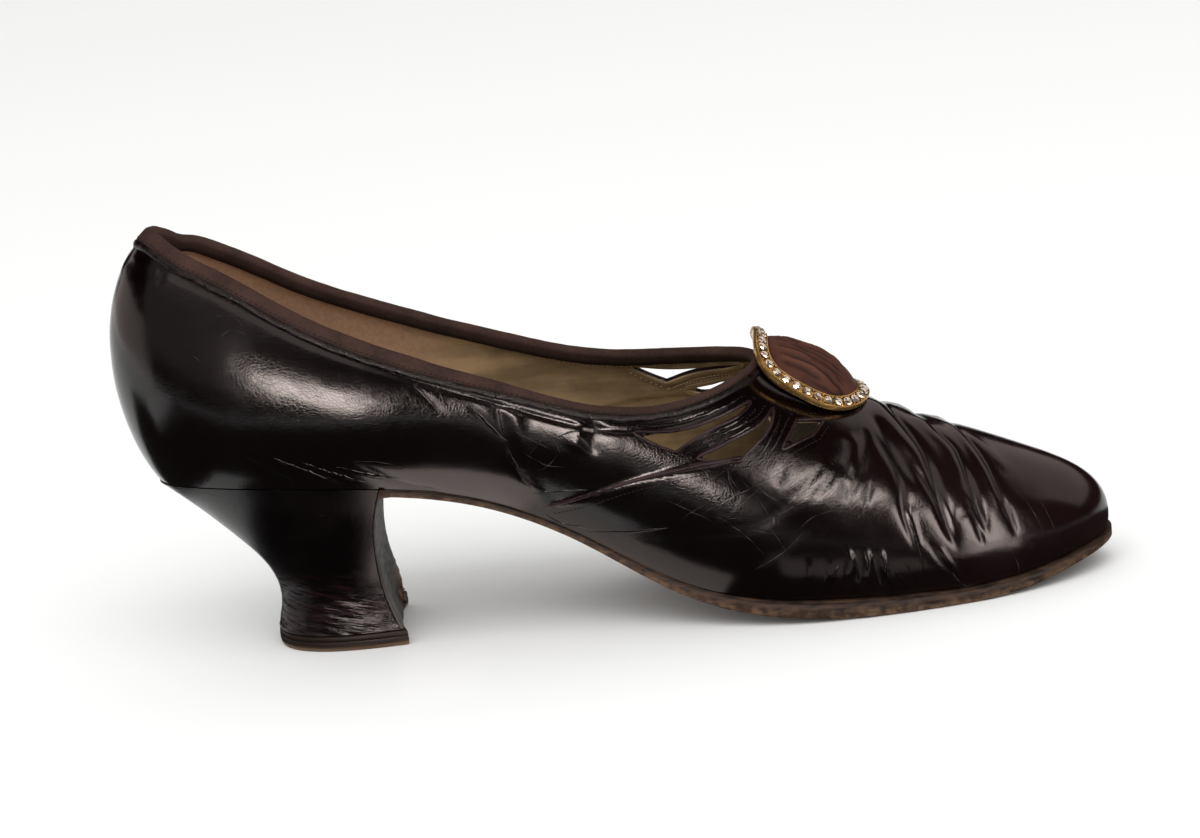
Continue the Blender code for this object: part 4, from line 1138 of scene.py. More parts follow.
class Finish(Wiring):
    """A new material, painted on its shader."""

    def __init__(self, name):
        self.material = bpy.data.materials.new(name)
        self.material.use_nodes = True
        super().__init__(self.material.node_tree)

    def painted(self, base, rough, normal=None, specular=0.5, **others):
        """Feeds the shader sockets or plain values; others go by its input names, with _ for a space."""
        others.update(Base_Color=base, Roughness=rough, Specular_IOR_Level=specular)
        if normal is not None:
            others["Normal"] = normal
        shader = self.tree.nodes["Principled BSDF"]
        for name, value in others.items():
            self.put(shader.inputs[name.replace("_", " ")], value)
        return self.material


def grouped(w, tree, vector, scale):
    return w.add("ShaderNodeGroup", {"Vector": vector, "Scale": scale}, node_tree=tree).outputs


def glazed_kid():
    """Black-brown glazed kid, oxblood towards the toe, with grain, cracks, scuffs and dull folds darkened
    with painted shade.
    """
    w = Finish("glazed_kid")
    vector = w.place()
    grain = grouped(w, kid_grain(), vector, 1400.0)
    marks = grouped(w, wear_marks(), vector, 160.0)
    fold, tint, scuff = w.value_at("fold"), w.value_at("tint"), w.value_at("scuff")
    cloud = w.span(w.noise(vector, 55.0, 4.0), 0.3, 0.7)
    shade = w.times(tint, w.plus(w.times(cloud, 0.6), 0.4))
    base = w.mix(shade, dye("kid"), dye("oxblood"))
    # Painted shade: the kid is darkened along the creases' valleys, where the fold mask lies.
    base = w.mix(w.times(fold, 0.6), base, dye("kid", 0.7))
    pale = w.math("MAXIMUM", w.times(scuff, 0.4), w.times(marks["Scratch"], 0.12))
    base = w.mix(w.times(pale, 0.5), base, dye("rubbed"))
    rough = w.plus(w.span(marks["Patch"], 0.0, 1.0, 0.11, 0.16), w.times(fold, 0.08))
    crack = w.plus(w.times(grain["Crack"], 0.05), w.times(grain["Pore"], 0.05))
    dull = w.math("MAXIMUM", w.times(w.value_at("line"), 0.25), crack)
    rough = w.plus(rough, w.plus(w.times(pale, 0.2), dull))
    soft = w.bump(w.noise(vector, 210.0, 2.0), 0.0001, 0.3)
    normal = w.bump(grain["Height"], 0.000014, 0.8, soft)
    return w.painted(base, rough, normal, 0.5)


def folded_kid():
    """Folded edges of the kid, aubergine, darker and glossier in patches."""
    w = Finish("folded_kid")
    vector = w.place()
    grain = grouped(w, kid_grain(), vector, 1900.0)
    marks = grouped(w, wear_marks(), vector, 300.0)
    base = w.mix(marks["Patch"], dye("edge", 0.4), dye("edge"))
    rough = w.span(marks["Patch"], 0.0, 1.0, 0.24, 0.4)
    normal = w.bump(grain["Height"], 0.00003, 0.6)
    return w.painted(base, rough, normal, 0.3)


def hem_kid():
    """Turned hem of the kid under the ribbon, dry and puckered."""
    w = Finish("hem_kid")
    vector = w.place()
    grain = grouped(w, kid_grain(), vector, 1500.0)
    pucker = w.noise(vector, 620.0, 3.0)
    base = w.mix(w.span(pucker, 0.4, 0.7), dye("kid"), dye("oxblood"))
    normal = w.bump(grain["Height"], 0.00004, 0.8, w.bump(pucker, 0.0003, 0.7))
    return w.painted(base, w.span(pucker, 0.3, 0.7, 0.26, 0.45), normal, 0.35)


def rubbed_kid():
    """Kid rubbed dry along a scratch."""
    w = Finish("rubbed_kid")
    dust = w.noise(w.place(), 700.0, 3.0)
    base = w.mix(w.span(dust, 0.3, 0.7), dye("rubbed", 0.35), dye("rubbed", 1.9))
    return w.painted(base, w.span(dust, 0.3, 0.7, 0.4, 0.6), specular=0.25)


def heel_kid():
    """Kid stretched over the heel, with level wrinkles near its base, their raised crests painted with a
    brown glint.
    """
    w = Finish("heel_kid")
    vector = w.place()
    grain = grouped(w, kid_grain(), vector, 1700.0)
    marks = grouped(w, wear_marks(), vector, 190.0)
    low = w.value_at("low")
    slanted = w.mapped(vector, turn=(0.0, -HEEL_SLANT, 0.0))
    wrinkle = w.noise(w.mapped(slanted, (1.0, 1.0, 7.0)), 130.0, 3.0)
    base = w.mix(marks["Patch"], dye("kid", 0.6), dye("oxblood", 0.25))
    # Painted glint: the raised crests of the low wrinkles are painted a brighter brown.
    base = w.mix(w.times(low, w.span(wrinkle, 0.45, 0.7)), base, dye("edge", 0.8))
    base = w.mix(w.times(marks["Scratch"], 0.4), base, dye("edge", 2.5))
    rough = w.plus(w.span(marks["Patch"], 0.0, 1.0, 0.17, 0.26), w.times(low, -0.05))
    soft = w.bump(wrinkle, 0.0004, w.times(low, 0.8))
    normal = w.bump(grain["Height"], 0.00003, 0.7, soft)
    return w.painted(base, rough, normal, 0.45)


def sole_leather():
    """Layered sole leather: inked along the top of its edge, raw and scuffed below, dull on the breast."""
    w = Finish("sole_leather")
    vector = w.place()
    marks = grouped(w, wear_marks(), vector, 240.0)
    rim, flap = w.value_at("rim"), w.value_at("flap")
    layers = w.noise(w.mapped(vector, (1.0, 1.0, 4.0)), 210.0, 5.0)
    worn_share = w.span(w.plus(rim, w.times(layers, 0.6)), 0.55, 1.15)
    ink = w.mix(w.span(layers, 0.3, 0.7), dye("sole", 0.12), dye("sole", 0.7))
    spots = w.span(w.noise(vector, 420.0, 4.0), 0.35, 0.7)
    bare = w.mix(spots, dye("sole", 0.5), dye("raw", 0.5))
    base = w.mix(worn_share, ink, bare)
    breast = w.mix(marks["Patch"], dye("breast", 0.7), dye("breast", 1.5))
    base = w.mix(flap, base, breast)
    base = w.mix(w.value_at("raw"), base, w.mix(layers, dye("sole", 0.8), dye("raw", 0.9)))
    rough = w.span(layers, 0.2, 0.8, 0.45, 0.75)
    normal = w.bump(layers, 0.00025, 0.6)
    normal = w.bump(marks["Scratch"], 0.0001, 0.4, normal)
    return w.painted(base, rough, normal, 0.3)


def top_piece_leather():
    """Stacked leather of the heel's wearing piece, inked above and rubbed bare at its foot."""
    w = Finish("top_piece_leather")
    vector = w.place()
    layers = w.noise(w.mapped(vector, (0.5, 0.5, 10.0)), 190.0, 4.0)
    height = w.add("ShaderNodeSeparateXYZ", {0: vector}).outputs["Z"]
    foot = w.span(w.plus(height, w.times(layers, 0.0016)), 0.0026, 0.0008)
    base = w.mix(foot, dye("sole", 0.16), dye("raw", 0.55))
    return w.painted(base, w.span(layers, 0.2, 0.8, 0.35, 0.6), w.bump(layers, 0.0002, 0.6), 0.3)


def shoe_lining():
    """Cream twill in the vamp, olive leather in the quarters and suede at the heel, with painted shade
    towards the vamp.
    """
    w = Finish("shoe_lining")
    vector = w.place()
    front, heel = w.value_at("front"), w.value_at("heel")
    threads = grouped(w, weave(), vector, 420.0)["Height"]
    blotch = w.noise(vector, 45.0, 5.0)
    # The streaks along the shoe give the leather its uneven tone and also paint in the shade of its folds.
    streak = w.noise(w.mapped(vector, (0.12, 1.0, 1.0)), 170.0, 4.0)
    tone = w.span(w.plus(w.times(blotch, 0.5), w.times(streak, 0.5)), 0.38, 0.62)
    leather = w.mix(tone, dye("lining", 0.5), dye("lining", 1.15))
    cloth = w.mix(threads, dye("cloth", 0.55), dye("cloth"))
    nap = w.mix(w.noise(vector, 900.0, 3.0), dye("suede", 0.6), dye("suede", 1.25))
    base = w.mix(heel, w.mix(front, leather, cloth), nap)
    # Painted shade: the lining darkens towards the vamp, inside the throat.
    base = w.mix(w.times(w.value_at("deep"), 0.65), base, dye("lining", 0.03))
    height = w.add("ShaderNodeMix", {0: front, 2: w.noise(vector, 1100.0, 3.0), 3: threads}).outputs[0]
    return w.painted(base, 0.75, w.bump(height, 0.0001, 0.5), 0.2)


def sock_leather():
    """Olive-tan sock leather with faint stains, and the twill beyond its curved end."""
    w = Finish("sock_leather")
    vector = w.place()
    front = w.value_at("front")
    threads = grouped(w, weave(), vector, 420.0)["Height"]
    stain = w.noise(vector, 60.0, 6.0, 0.65)
    spots = w.span(w.noise(vector, 240.0, 3.0), 0.66, 0.72)
    leather = w.mix(w.span(stain, 0.35, 0.7), dye("sock", 0.75), dye("sock", 1.12))
    leather = w.mix(w.times(spots, 0.55), leather, dye("sock", 0.3))
    cloth = w.mix(threads, dye("cloth", 0.55), dye("cloth"))
    base = w.mix(front, leather, cloth)
    height = w.add("ShaderNodeMix", {0: front, 2: w.noise(vector, 900.0, 3.0), 3: threads}).outputs[0]
    return w.painted(base, w.span(stain, 0.3, 0.7, 0.5, 0.68), w.bump(height, 0.00008, 0.5), 0.3)


def collar_ribbon():
    """Ribbed ribbon, faded on the fold and frayed in places."""
    w = Finish("collar_ribbon")
    vector, surface = w.place(), w.surface()
    ribs = w.add("ShaderNodeTexWave", {"Vector": w.mapped(surface, (0.0, 1.0, 0.0)), "Scale": 300.0},
                 bands_direction="Y").outputs["Fac"]
    fade = w.noise(vector, 90.0, 4.0)
    thread = w.noise(vector, 1300.0, 2.0)
    base = w.mix(w.span(fade, 0.3, 0.75), dye("ribbon", 0.65), dye("ribbon", 1.35))
    base = w.mix(w.times(w.span(thread, 0.35, 0.65), 0.2), base, dye("ribbon", 2.0))
    base = w.mix(w.times(ribs, 0.2), base, dye("ribbon", 0.4))
    across = w.add("ShaderNodeSeparateXYZ", {0: surface}).outputs["X"]
    selvedge = w.math("MAXIMUM", w.span(across, 0.13, 0.07), w.span(across, 0.53, 0.58))
    base = w.mix(w.times(selvedge, 0.6), base, dye("ribbon", 0.25))
    height = w.plus(w.times(ribs, 0.25), w.times(thread, 0.7))
    return w.painted(base, 0.75, w.bump(height, 0.00015, 0.8), 0.12)


def brown_silk():
    """Fine brown silk with a soft lustre, with a painted highlight on its gathers' crests and painted shade
    in their valleys.
    """
    w = Finish("brown_silk")
    vector = w.place()
    crest = w.value_at("crest")
    threads = w.noise(w.mapped(vector, (0.12, 1.0, 1.0)), 1800.0, 2.0)
    cloud = w.noise(vector, 160.0, 4.0)
    base = w.mix(w.span(cloud, 0.3, 0.7), dye("silk", 0.7), dye("silk", 1.1))
    # Painted highlight: the raised crests of the gathers are painted paler.
    base = w.mix(w.times(crest, 0.6), base, dye("silk", 1.9))
    # Painted shade: the gathers' valleys are darkened.
    base = w.mix(w.times(w.value_at("fold"), 0.85), base, dye("silk", 0.14))
    return w.painted(base, w.span(threads, 0.3, 0.7, 0.5, 0.65), w.bump(threads, 0.00006, 0.5), 0.12)


def gilt_metal():
    """Gilt brass, tarnished darker and duller in patches."""
    w = Finish("gilt_metal")
    vector = w.place()
    tarnish = w.noise(vector, 420.0, 4.0)
    base = w.mix(w.span(tarnish, 0.42, 0.75), dye("gilt"), dye("gilt", 0.35))
    rough = w.span(tarnish, 0.35, 0.75, 0.18, 0.42)
    return w.painted(base, rough, w.bump(tarnish, 0.00003, 0.5), Metallic=0.85)


def paste_stone():
    """Foiled paste: bright facets that shift a little from cool to warm, and darker blotches painted in as
    dark reflections.
    """
    w = Finish("paste_stone")
    vector = w.place()
    tone = w.noise(vector, 700.0, 1.0)
    base = w.mix(w.span(tone, 0.35, 0.65), dye("paste"), dye("gilt", 1.2))
    base = w.mix(0.6, base, dye("paste"))
    # Painted reflection: darker blotches stand in for facets that mirror dark surroundings.
    base = w.mix(w.span(w.noise(vector, 900.0, 2.0), 0.45, 0.7, 0.0, 0.8), base, dye("gilt", 0.3))
    rough = w.span(tone, 0.3, 0.7, 0.03, 0.1)
    return w.painted(base, rough, Metallic=0.85, Coat_Weight=1.0, Coat_Roughness=0.02)


def sewing_thread(name, tone):
    """Twisted thread of one tone."""
    w = Finish(name)
    twist = w.noise(w.place(), 2400.0, 2.0)
    base = w.mix(twist, rgba(tone, 0.5), rgba(tone, 1.3))
    return w.painted(base, 0.8, w.bump(twist, 0.00004, 0.5), 0.15)


def pale_floor():
    w = Finish("pale_floor")
    cloud = w.noise(w.place(), 3.0, 2.0)
    base = w.mix(cloud, dye("floor", 0.985), dye("floor"))
    return w.painted(base, 0.9, specular=0.1)


def floor_card(name, glow):
    """Felt of a card, or a lit card."""
    w = Finish(name)
    felt = w.mix(w.noise(w.place(), 400.0, 2.0), rgba((0.01, 0.01, 0.01)), rgba((0.03, 0.03, 0.03)))
    tint = rgba(LIGHT_TINT)
    return w.painted(felt, 1.0, specular=0.0, Emission_Color=tint, Emission_Strength=glow)


class Sheet:
    """The upper's sheet as a grid over the last, worn, with lengths, girths and cut-outs."""

    def __init__(self, last, cell, rows, depth, spread):
        inner, outer = last.throat(-1), last.throat(1)
        front = last.spaced(0.0, inner, cell)
        along = np.linspace(outer, 1, 2000)
        front_outer = np.interp(last.column("ridge_x", front),
                                last.column("ridge_x", np.minimum(along, 1 - 1e-9)), along)
        collar = last.collar_stations(cell)
        stations = np.concatenate([front[:-1], collar, front_outer[:0:-1][1:], front[:1]])
        tops = np.ones(len(stations))
        tops[len(front) : len(front) + len(collar) - 2] = last.topline(collar[1:-1])
        at, v = stations[:, None] * np.ones(rows), tops[:, None] * np.linspace(0, 1, rows)
        heights, girths = last.girths(stations)
        girth = np.array([np.interp(-row, -heights, line) for row, line in zip(v, girths)])
        side = np.where(stations < last.heel_station, -1.0, 1.0)
        side[-1] = -1.0
        points, normals = last.surface(at, v), last.normal(at, np.minimum(v, 0.9995))
        self.girth = girth * side[:, None]
        under = np.where(tops[:, None] < 1, girth - girth[:, -1:], FAR_BELOW)
        relief, self.fold, self.line = worn(points, self.girth, under, spread)
        self.x = points[..., 0]
        self.points = points + (relief - depth)[..., None] * normals
        self.points[..., 2] += collar_lift(points)
        ridge = len(front) - 1
        for i in range(1, ridge + 1):
            pair = i, len(stations) - 1 - i
            self.points[pair, -1] = self.points[pair, -1].mean(axis=0)
        self.points[-1] = self.points[0]

    def open_cutouts(self, last, grow, depth):
        """Moves the grid's points out to the cut-outs' edges, and returns the faces that lie within them."""
        inside = np.zeros(self.x.shape, bool)
        for side in (-1, 1):
            for name in CUTOUTS:
                loop = grown(cutout_loop(name, 0.4), grow)
                within = inside_loop(loop, self.x, self.girth * side)
                edge = edge_points(last, side, loop, depth)
                away = np.linalg.norm(self.points[within][:, None, :] - edge[None], axis=2)
                self.points[within] = edge[away.argmin(axis=1)]
                inside |= within
        count = inside.astype(int)
        corners = count[:-1, :-1] + count[1:, :-1] + count[:-1, 1:] + count[1:, 1:]
        return corners.ravel() >= 3


def grown(loop, distance):
    """A closed outline moved outwards by a distance."""
    run = np.roll(loop, -1, axis=0) - np.roll(loop, 1, axis=0)
    away = unit(np.stack([run[:, 1], -run[:, 0]], -1))
    turning = np.cross(loop, np.roll(loop, -1, axis=0)).sum()
    return loop + distance * away * np.sign(turning)


def inside_loop(loop, x, y):
    """Which points lie within a closed outline."""
    inside = np.zeros(x.shape, bool)
    (left, low), (right, high) = loop.min(axis=0), loop.max(axis=0)
    box = (x > left) & (x < right) & (y > low) & (y < high)
    px, py = x[box], y[box]
    hit = np.zeros(px.shape, bool)
    for (x0, y0), (x1, y1) in zip(loop, np.roll(loop, -1, axis=0)):
        crosses = (y0 > py) != (y1 > py)
        reach = x0 + (py - y0) / (y1 - y0 if y1 != y0 else 1e-12) * (x1 - x0)
        hit ^= crosses & (px < reach)
    inside[box] = hit
    return inside


def on_upper(last, side, line):
    """Worn points and normals of the upper along a line of (x, girth)."""
    points, normals = last.girth_points(side, line)
    relief, _, _ = worn(points, side * line[:, 1], np.full(len(line), FAR_BELOW))
    return points + relief[:, None] * normals, normals


def edge_points(last, side, loop, depth):
    points, normals = on_upper(last, side, loop)
    return points - depth * normals


def upper_sheet(name, cell, rows, depth, grow, thickness, values, spread=1.0):
    """A wall of the upper with its cut-outs, thick inwards; values gives its attributes from the sheet."""
    last = Last()
    sheet = Sheet(last, cell, rows, depth, spread)
    gone = sheet.open_cutouts(last, grow, depth)
    piece = sheet_piece(name, sheet.points, **values(sheet))
    in_edit_mode(piece, lambda: delete_faces(piece, gone), merge(0.03),
                 lambda: bpy.ops.mesh.dissolve_degenerate(threshold=0.01 * MM))
    sample = piece.data.polygons[len(piece.data.polygons) // 2]
    middle = sum((piece.data.vertices[i].co for i in sample.vertices), Vector()) / len(sample.vertices)
    if sample.normal.dot(middle - Vector((middle.x, 0.0, 0.05))) < 0:
        in_edit_mode(piece, bpy.ops.mesh.flip_normals)
    apply_modifier(piece, "SOLIDIFY", thickness=thickness, offset=-1.0)
    return piece


def delete_faces(piece, gone):
    bpy.ops.mesh.select_all(action="DESELECT")
    bpy.ops.object.mode_set(mode="OBJECT")
    piece.data.polygons.foreach_set("select", gone)
    bpy.ops.object.mode_set(mode="EDIT")
    bpy.ops.mesh.select_mode(type="FACE")
    bpy.ops.mesh.delete(type="FACE")
    bpy.ops.mesh.select_mode(type="VERT")
    bpy.ops.mesh.select_all(action="SELECT")


class SHOE_OT_upper(bpy.types.Operator):
    """Builds the worn kid upper with its creases and cut-outs"""

    bl_idname = "shoe.upper"
    bl_label = "Upper"

    def execute(self, context):
        def values(sheet):
            high = soft_step(-np.abs(sheet.girth), -48, -18)
            tint = soft_step(sheet.x, *OXBLOOD) * (0.65 + 0.35 * high)
            scuff = np.zeros(sheet.x.shape)
            for strength, width, line in SCUFFS[1:]:
                _, mask, _ = crease_relief((None, (FULL_FOLD, width, line)), sheet.x, sheet.girth)
                scuff = np.maximum(scuff, strength * mask)
            # fold carries both the creases' dullness and their painted shade.
            return {"fold": sheet.fold, "line": sheet.line, "tint": tint, "scuff": scuff}

        piece = upper_sheet("kid_upper", sizes().cell / MM, UPPER_ROWS, 0.0, 0.0, sizes().leather, values)
        settle(piece, glazed_kid(), "upper_leather", "upper", angle=60.0)
        return {"FINISHED"}


class SHOE_OT_lining(bpy.types.Operator):
    """Lines the upper with twill, leather and suede"""

    bl_idname = "shoe.lining"
    bl_label = "Lining"

    def execute(self, context):
        def values(sheet):
            bow = np.abs(sheet.girth) * CLOTH_BOW
            # The last value marks where painted shade darkens the lining towards the vamp.
            return {"front": soft_step(sheet.x + bow, *CLOTH), "heel": soft_step(-sheet.x, *SUEDE),
                    "deep": soft_step(sheet.x, *LINING_SHADE)}

        cell, depth = LINING_CELL * sizes().cell / MM, sizes().leather / MM + LINING_ROOM
        piece = upper_sheet("shoe_lining", cell, LINING_ROWS, depth, LINING_GROW, sizes().lining, values,
                            LINING_SPREAD)
        settle(piece, shoe_lining(), "insole_leather", angle=60.0)
        return {"FINISHED"}


def swept_edge(points, normals, section, closed, flip=1.0):
    """Rings of a section of (outwards, sideways) carried along points with the surface's normals."""
    if closed:
        run = np.roll(points, -1, axis=0) - np.roll(points, 1, axis=0)
    else:
        run = np.gradient(points, axis=0)
    sideways = flip * unit(np.cross(normals, unit(run)))
    return np.array([[p + out * n + across * s for out, across in section]
                     for p, n, s in zip(points, normals, sideways)])


class SHOE_OT_edges(bpy.types.Operator):
    """Folds the edges of the cut-outs and of the vamp, and turns in the lining's edges"""

    bl_idname = "shoe.edges"
    bl_label = "Folded edges"

    def execute(self, context):
        last, material, lining = Last(), folded_kid(), bpy.data.materials["shoe_lining"]
        for side, label in ((-1, "inner"), (1, "outer")):
            for name in CUTOUTS:
                loop = cutout_loop(name, 0.45)
                points, normals = on_upper(last, side, loop)
                turning = np.sign(np.cross(loop, np.roll(loop, -1, axis=0)).sum())
                rings = swept_edge(points, normals, LIP, True, -turning * side)
                rings += 0.05 * lumps(rings, 1.6, 3.0)[..., None] * normals[:, None]
                settle(swept_piece("%s_lip_%s" % (name, label), rings, True), material, "upper_leather")
                rings = swept_edge(points, normals, LINING_LIP, True, -turning * side)
                settle(swept_piece("%s_lining_%s" % (name, label), rings, True), lining, "insole_leather")
            points, normals = on_upper(last, side, smooth_line(SEAM, 0.6))
            rings = swept_edge(points, normals, VAMP_EDGE, False, side)
            settle(swept_piece("vamp_edge_%s" % label, rings, False), material, "upper_leather")
        return {"FINISHED"}


def across_line(last, side, path):
    """Worn points and normals of the upper along a path, and the directions across it."""
    points, normals = on_upper(last, side, path)
    return points, normals, unit(np.cross(normals, np.gradient(points, axis=0)))


def joined(name, pieces):
    """Joins pieces into the first of them under a new name."""
    deselect_all()
    for piece in pieces:
        piece.select_set(True)
    bpy.context.view_layer.objects.active = pieces[0]
    bpy.ops.object.join()
    pieces[0].name = pieces[0].data.name = name
    return pieces[0]


class SHOE_OT_wrinkles(bpy.types.Operator):
    """Raises the wrinkles of the strips, waist and vamp, and draws the hairline scratches"""

    bl_idname = "shoe.wrinkles"
    bl_label = "Wrinkles and scratches"

    def execute(self, context):
        last, raised, drawn = Last(), [], []
        rows = [(row, (-1, 1)) for row in FLUTES[1:]] + [(row, (-1,)) for row in RIDGES[1:]]
        for (half, lift, line), sides in rows:
            path = smooth_line(line, 0.35)
            ends = np.sin(np.linspace(0.05, math.pi - 0.05, len(path))) ** 0.7
            for side in sides:
                points, normals, across = across_line(last, side, path)
                points = points + 0.18 * lumps(points, 1.9, 20 * half)[:, None] * across
                swell = ends * (1 + 0.3 * lumps(points, 1.5, 11.0))
                rings = [[p + half * e * a * d + lift * e * b * n for a, b in WRINKLE]
                         for p, n, d, e in zip(points, normals, across, swell)]
                raised.append(swept_piece("wrinkle", np.array(rings), False))
        kid = bpy.data.materials["glazed_kid"]
        settle(joined("kid_wrinkles", raised), kid, "upper_leather", angle=60.0)
        for half, line in SCRATCHES[1:]:
            path = smooth_line(line, 0.4)
            points, normals, across = across_line(last, -1, path)
            points = points + 0.25 * lumps(points, 2.2, half * 90)[:, None] * across
            ends = np.sin(np.linspace(0.06, math.pi - 0.06, len(path)))
            ends = ends * np.clip(0.5 + 1.6 * lumps(points, 2.6, half * 50), 0.1, 1.0)
            rings = [[p - half * e * d - 0.05 * n, p + half * e * d - 0.05 * n, p + SCRATCH_LIFT * n]
                     for p, n, d, e in zip(points, normals, across, ends)]
            drawn.append(swept_piece("scratch", np.array(rings), False))
        settle(joined("kid_scratches", drawn), rubbed_kid(), "upper_leather")
        return {"FINISHED"}


def stitch_template():
    stitch = added(bpy.ops.mesh.primitive_uv_sphere_add, "stitch", segments=6, ring_count=4, radius=1)
    in_edit_mode(stitch, lambda: bpy.ops.transform.resize(value=(STITCH[0], STITCH[1], STITCH[1])))
    return stitch


def stitch_frames(points, normals, lift):
    """Axes and places of stitches along a row."""
    run = unit(np.gradient(points, axis=0))
    sideways = unit(np.cross(normals, run))
    up = np.cross(run, sideways)
    return [((r, s, u), p + lift * n) for r, s, u, p, n in zip(run, sideways, up, points, normals)]


def collar_row(last, side, start, end, below):
    """A line of (x, girth) that follows the collar at a distance under its edge."""
    x = np.arange(start, end, STITCH_PITCH)
    at = np.array([last.station(side, value) for value in x])
    v, girths = last.girths(at)
    edge = [np.interp(-cut, -v, row) for cut, row in zip(last.topline(at), girths)]
    return np.stack([x, np.array(edge) + below], -1)


class SHOE_OT_stitches(bpy.types.Operator):
    """Sews the rows round the cut-outs, along the vamp's edge and inside"""

    bl_idname = "shoe.stitches"
    bl_label = "Stitches"

    def execute(self, context):
        last = Last()
        outside, inside = [], []
        depth = (sizes().leather + sizes().lining) / MM + 0.24
        for side in (-1, 1):
            for name in CUTOUTS:
                loop = grown(cutout_loop(name, STITCH_PITCH), LIP_ROW)
                points, normals = on_upper(last, side, loop)
                outside += stitch_frames(points, normals, STITCH_LIFT)
                inside += stitch_frames(points - depth * normals, normals, 0.0)
            points, normals = on_upper(last, side, collar_row(last, side, *INSIDE_ROW))
            inside += stitch_frames(points - depth * normals, normals, 0.0)
            points, normals = on_upper(last, side, smooth_line(SEAM, STITCH_PITCH) + SEAM_ROW)
            outside += stitch_frames(points, normals, STITCH_LIFT)
        rows = (("outside_stitches", outside, colours().purl, "upper_leather"),
                ("inside_stitches", inside, colours().thread, "insole_leather"))
        for name, frames, tone, slot in rows:
            settle(joined_piece(name, stitch_template(), frames), sewing_thread(name, tone), slot)
        return {"FINISHED"}


def collar_loop(last, cell):
    """Points round the collar with the wall's outward normal and the direction over its edge."""
    stations = last.collar_stations(cell)[:-1]
    heights = last.topline(stations)
    points = last.surface(stations, heights)
    normals = last.normal(stations, np.minimum(heights, 0.999))
    points[0, 1] = 0.0
    relief, _, _ = worn(points, np.full(len(points), FAR_BELOW), np.zeros(len(points)))
    points = points + relief[:, None] * normals
    run = np.roll(points, -1, axis=0) - np.roll(points, 1, axis=0)
    over = unit(np.cross(normals, run))
    centre = points.mean(axis=0) + (0, 0, 30.0)
    flip = np.sign(np.einsum("ij,ij->i", over, centre - points))
    return points, normals, over * flip[:, None]


class SHOE_OT_binding(bpy.types.Operator):
    """Binds the collar's edge with ribbon and its row of stitches"""

    bl_idname = "shoe.binding"
    bl_label = "Collar ribbon"

    def execute(self, context):
        points, normals, over = collar_loop(Last(), 1.4 * sizes().cell / MM)
        narrow = 1 - RIBBON_LOSS * soft_step(points[:, 0], *NARROWING)
        rings = np.array([[p + out * n + rise * (share if out > 0 else 1.0) * up for out, rise in RIBBON]
                          for p, n, up, share in zip(points, normals, over, narrow)])
        rings += 0.09 * lumps(rings, 2.6, 2.0)[..., None] * normals[:, None]
        back = soft_step(-points[:, 0], -30, -8)[:, None]
        rise = (0.12 + 0.75 * back) * lumps(rings, 5.0, 7.0) + 0.3 * back * lumps(rings, 1.6, 3.0)
        rings += rise[..., None] * over[:, None]
        rings[..., 2] += collar_lift(points)[:, None]
        ribbon = swept_piece("collar_ribbon", rings, True)
        settle(ribbon, collar_ribbon(), "binding_ribbon", "collar_binding", angle=70.0)
        hem = np.array([[p + out * n + (rise + RIBBON_LEG * (1 - share)) * up for out, rise in HEM]
                        for p, n, up, share in zip(points, normals, over, narrow)])
        hem += ((0.12 + 0.2 * back) * lumps(hem, 1.8, 12.0))[..., None] * normals[:, None]
        hem += (0.3 * lumps(hem, 4.0, 3.0))[..., None] * over[:, None]
        hem[..., 2] += collar_lift(points)[:, None]
        settle(swept_piece("collar_hem", hem, True), hem_kid(), "upper_leather", angle=70.0)
        line = points + 0.47 * normals - (2.5 * narrow)[:, None] * over
        line[:, 2] += collar_lift(points)
        lengths = run_lengths(line)
        at = np.arange(0, lengths[-1], 1.1 * STITCH_PITCH)
        row = np.stack([np.interp(at, lengths, line[:, i]) for i in range(3)], -1)
        outwards = np.stack([np.interp(at, lengths, normals[:, i]) for i in range(3)], -1)
        stitches = joined_piece("ribbon_stitches", stitch_template(), stitch_frames(row, outwards, 0.0))
        tone = [0.45 * part for part in colours().ribbon]
        settle(stitches, sewing_thread("ribbon_stitches", tone), "binding_ribbon")
        return {"FINISHED"}


def sole_edges(last, x, margin):
    """The two edge points of the last at a length, moved outwards by a margin."""
    at = np.array([last.station(side, x) for side in (-1, 1)])
    return last.edge(at) + margin * last.outward(at)


def crowded(tip, start, count):
    """Lengths from a start to a round tip, closer together towards the tip."""
    return tip + (start - tip) * np.linspace(1, 0.0, count) ** 2


def sole_ring(inner, outer, thick, depths):
    """A level section of the sole: its top, its rims with their groove and rounding, and its tread."""
    across = np.linspace(0, 1, SOLE_COLUMNS + 2)[1:-1]
    width = np.linalg.norm((outer - inner)[:2])
    way = (outer - inner) / max(width, 1e-6)
    share = min(1.0, width / 8.0)
    floor_z = max(inner[2] - thick, 0.0)
    height = inner[2] - floor_z
    top = [inner + (outer - inner) * f for f in across]
    down_outer = [outer - way * rim * share - (0, 0, height * drop) for drop, rim in depths]
    down_inner = [inner + way * rim * share - (0, 0, height * drop) for drop, rim in depths]
    under = [(inner + (outer - inner) * f) - (0, 0, height) for f in across[::-1]]
    return np.array(top + down_outer + under + down_inner[::-1])


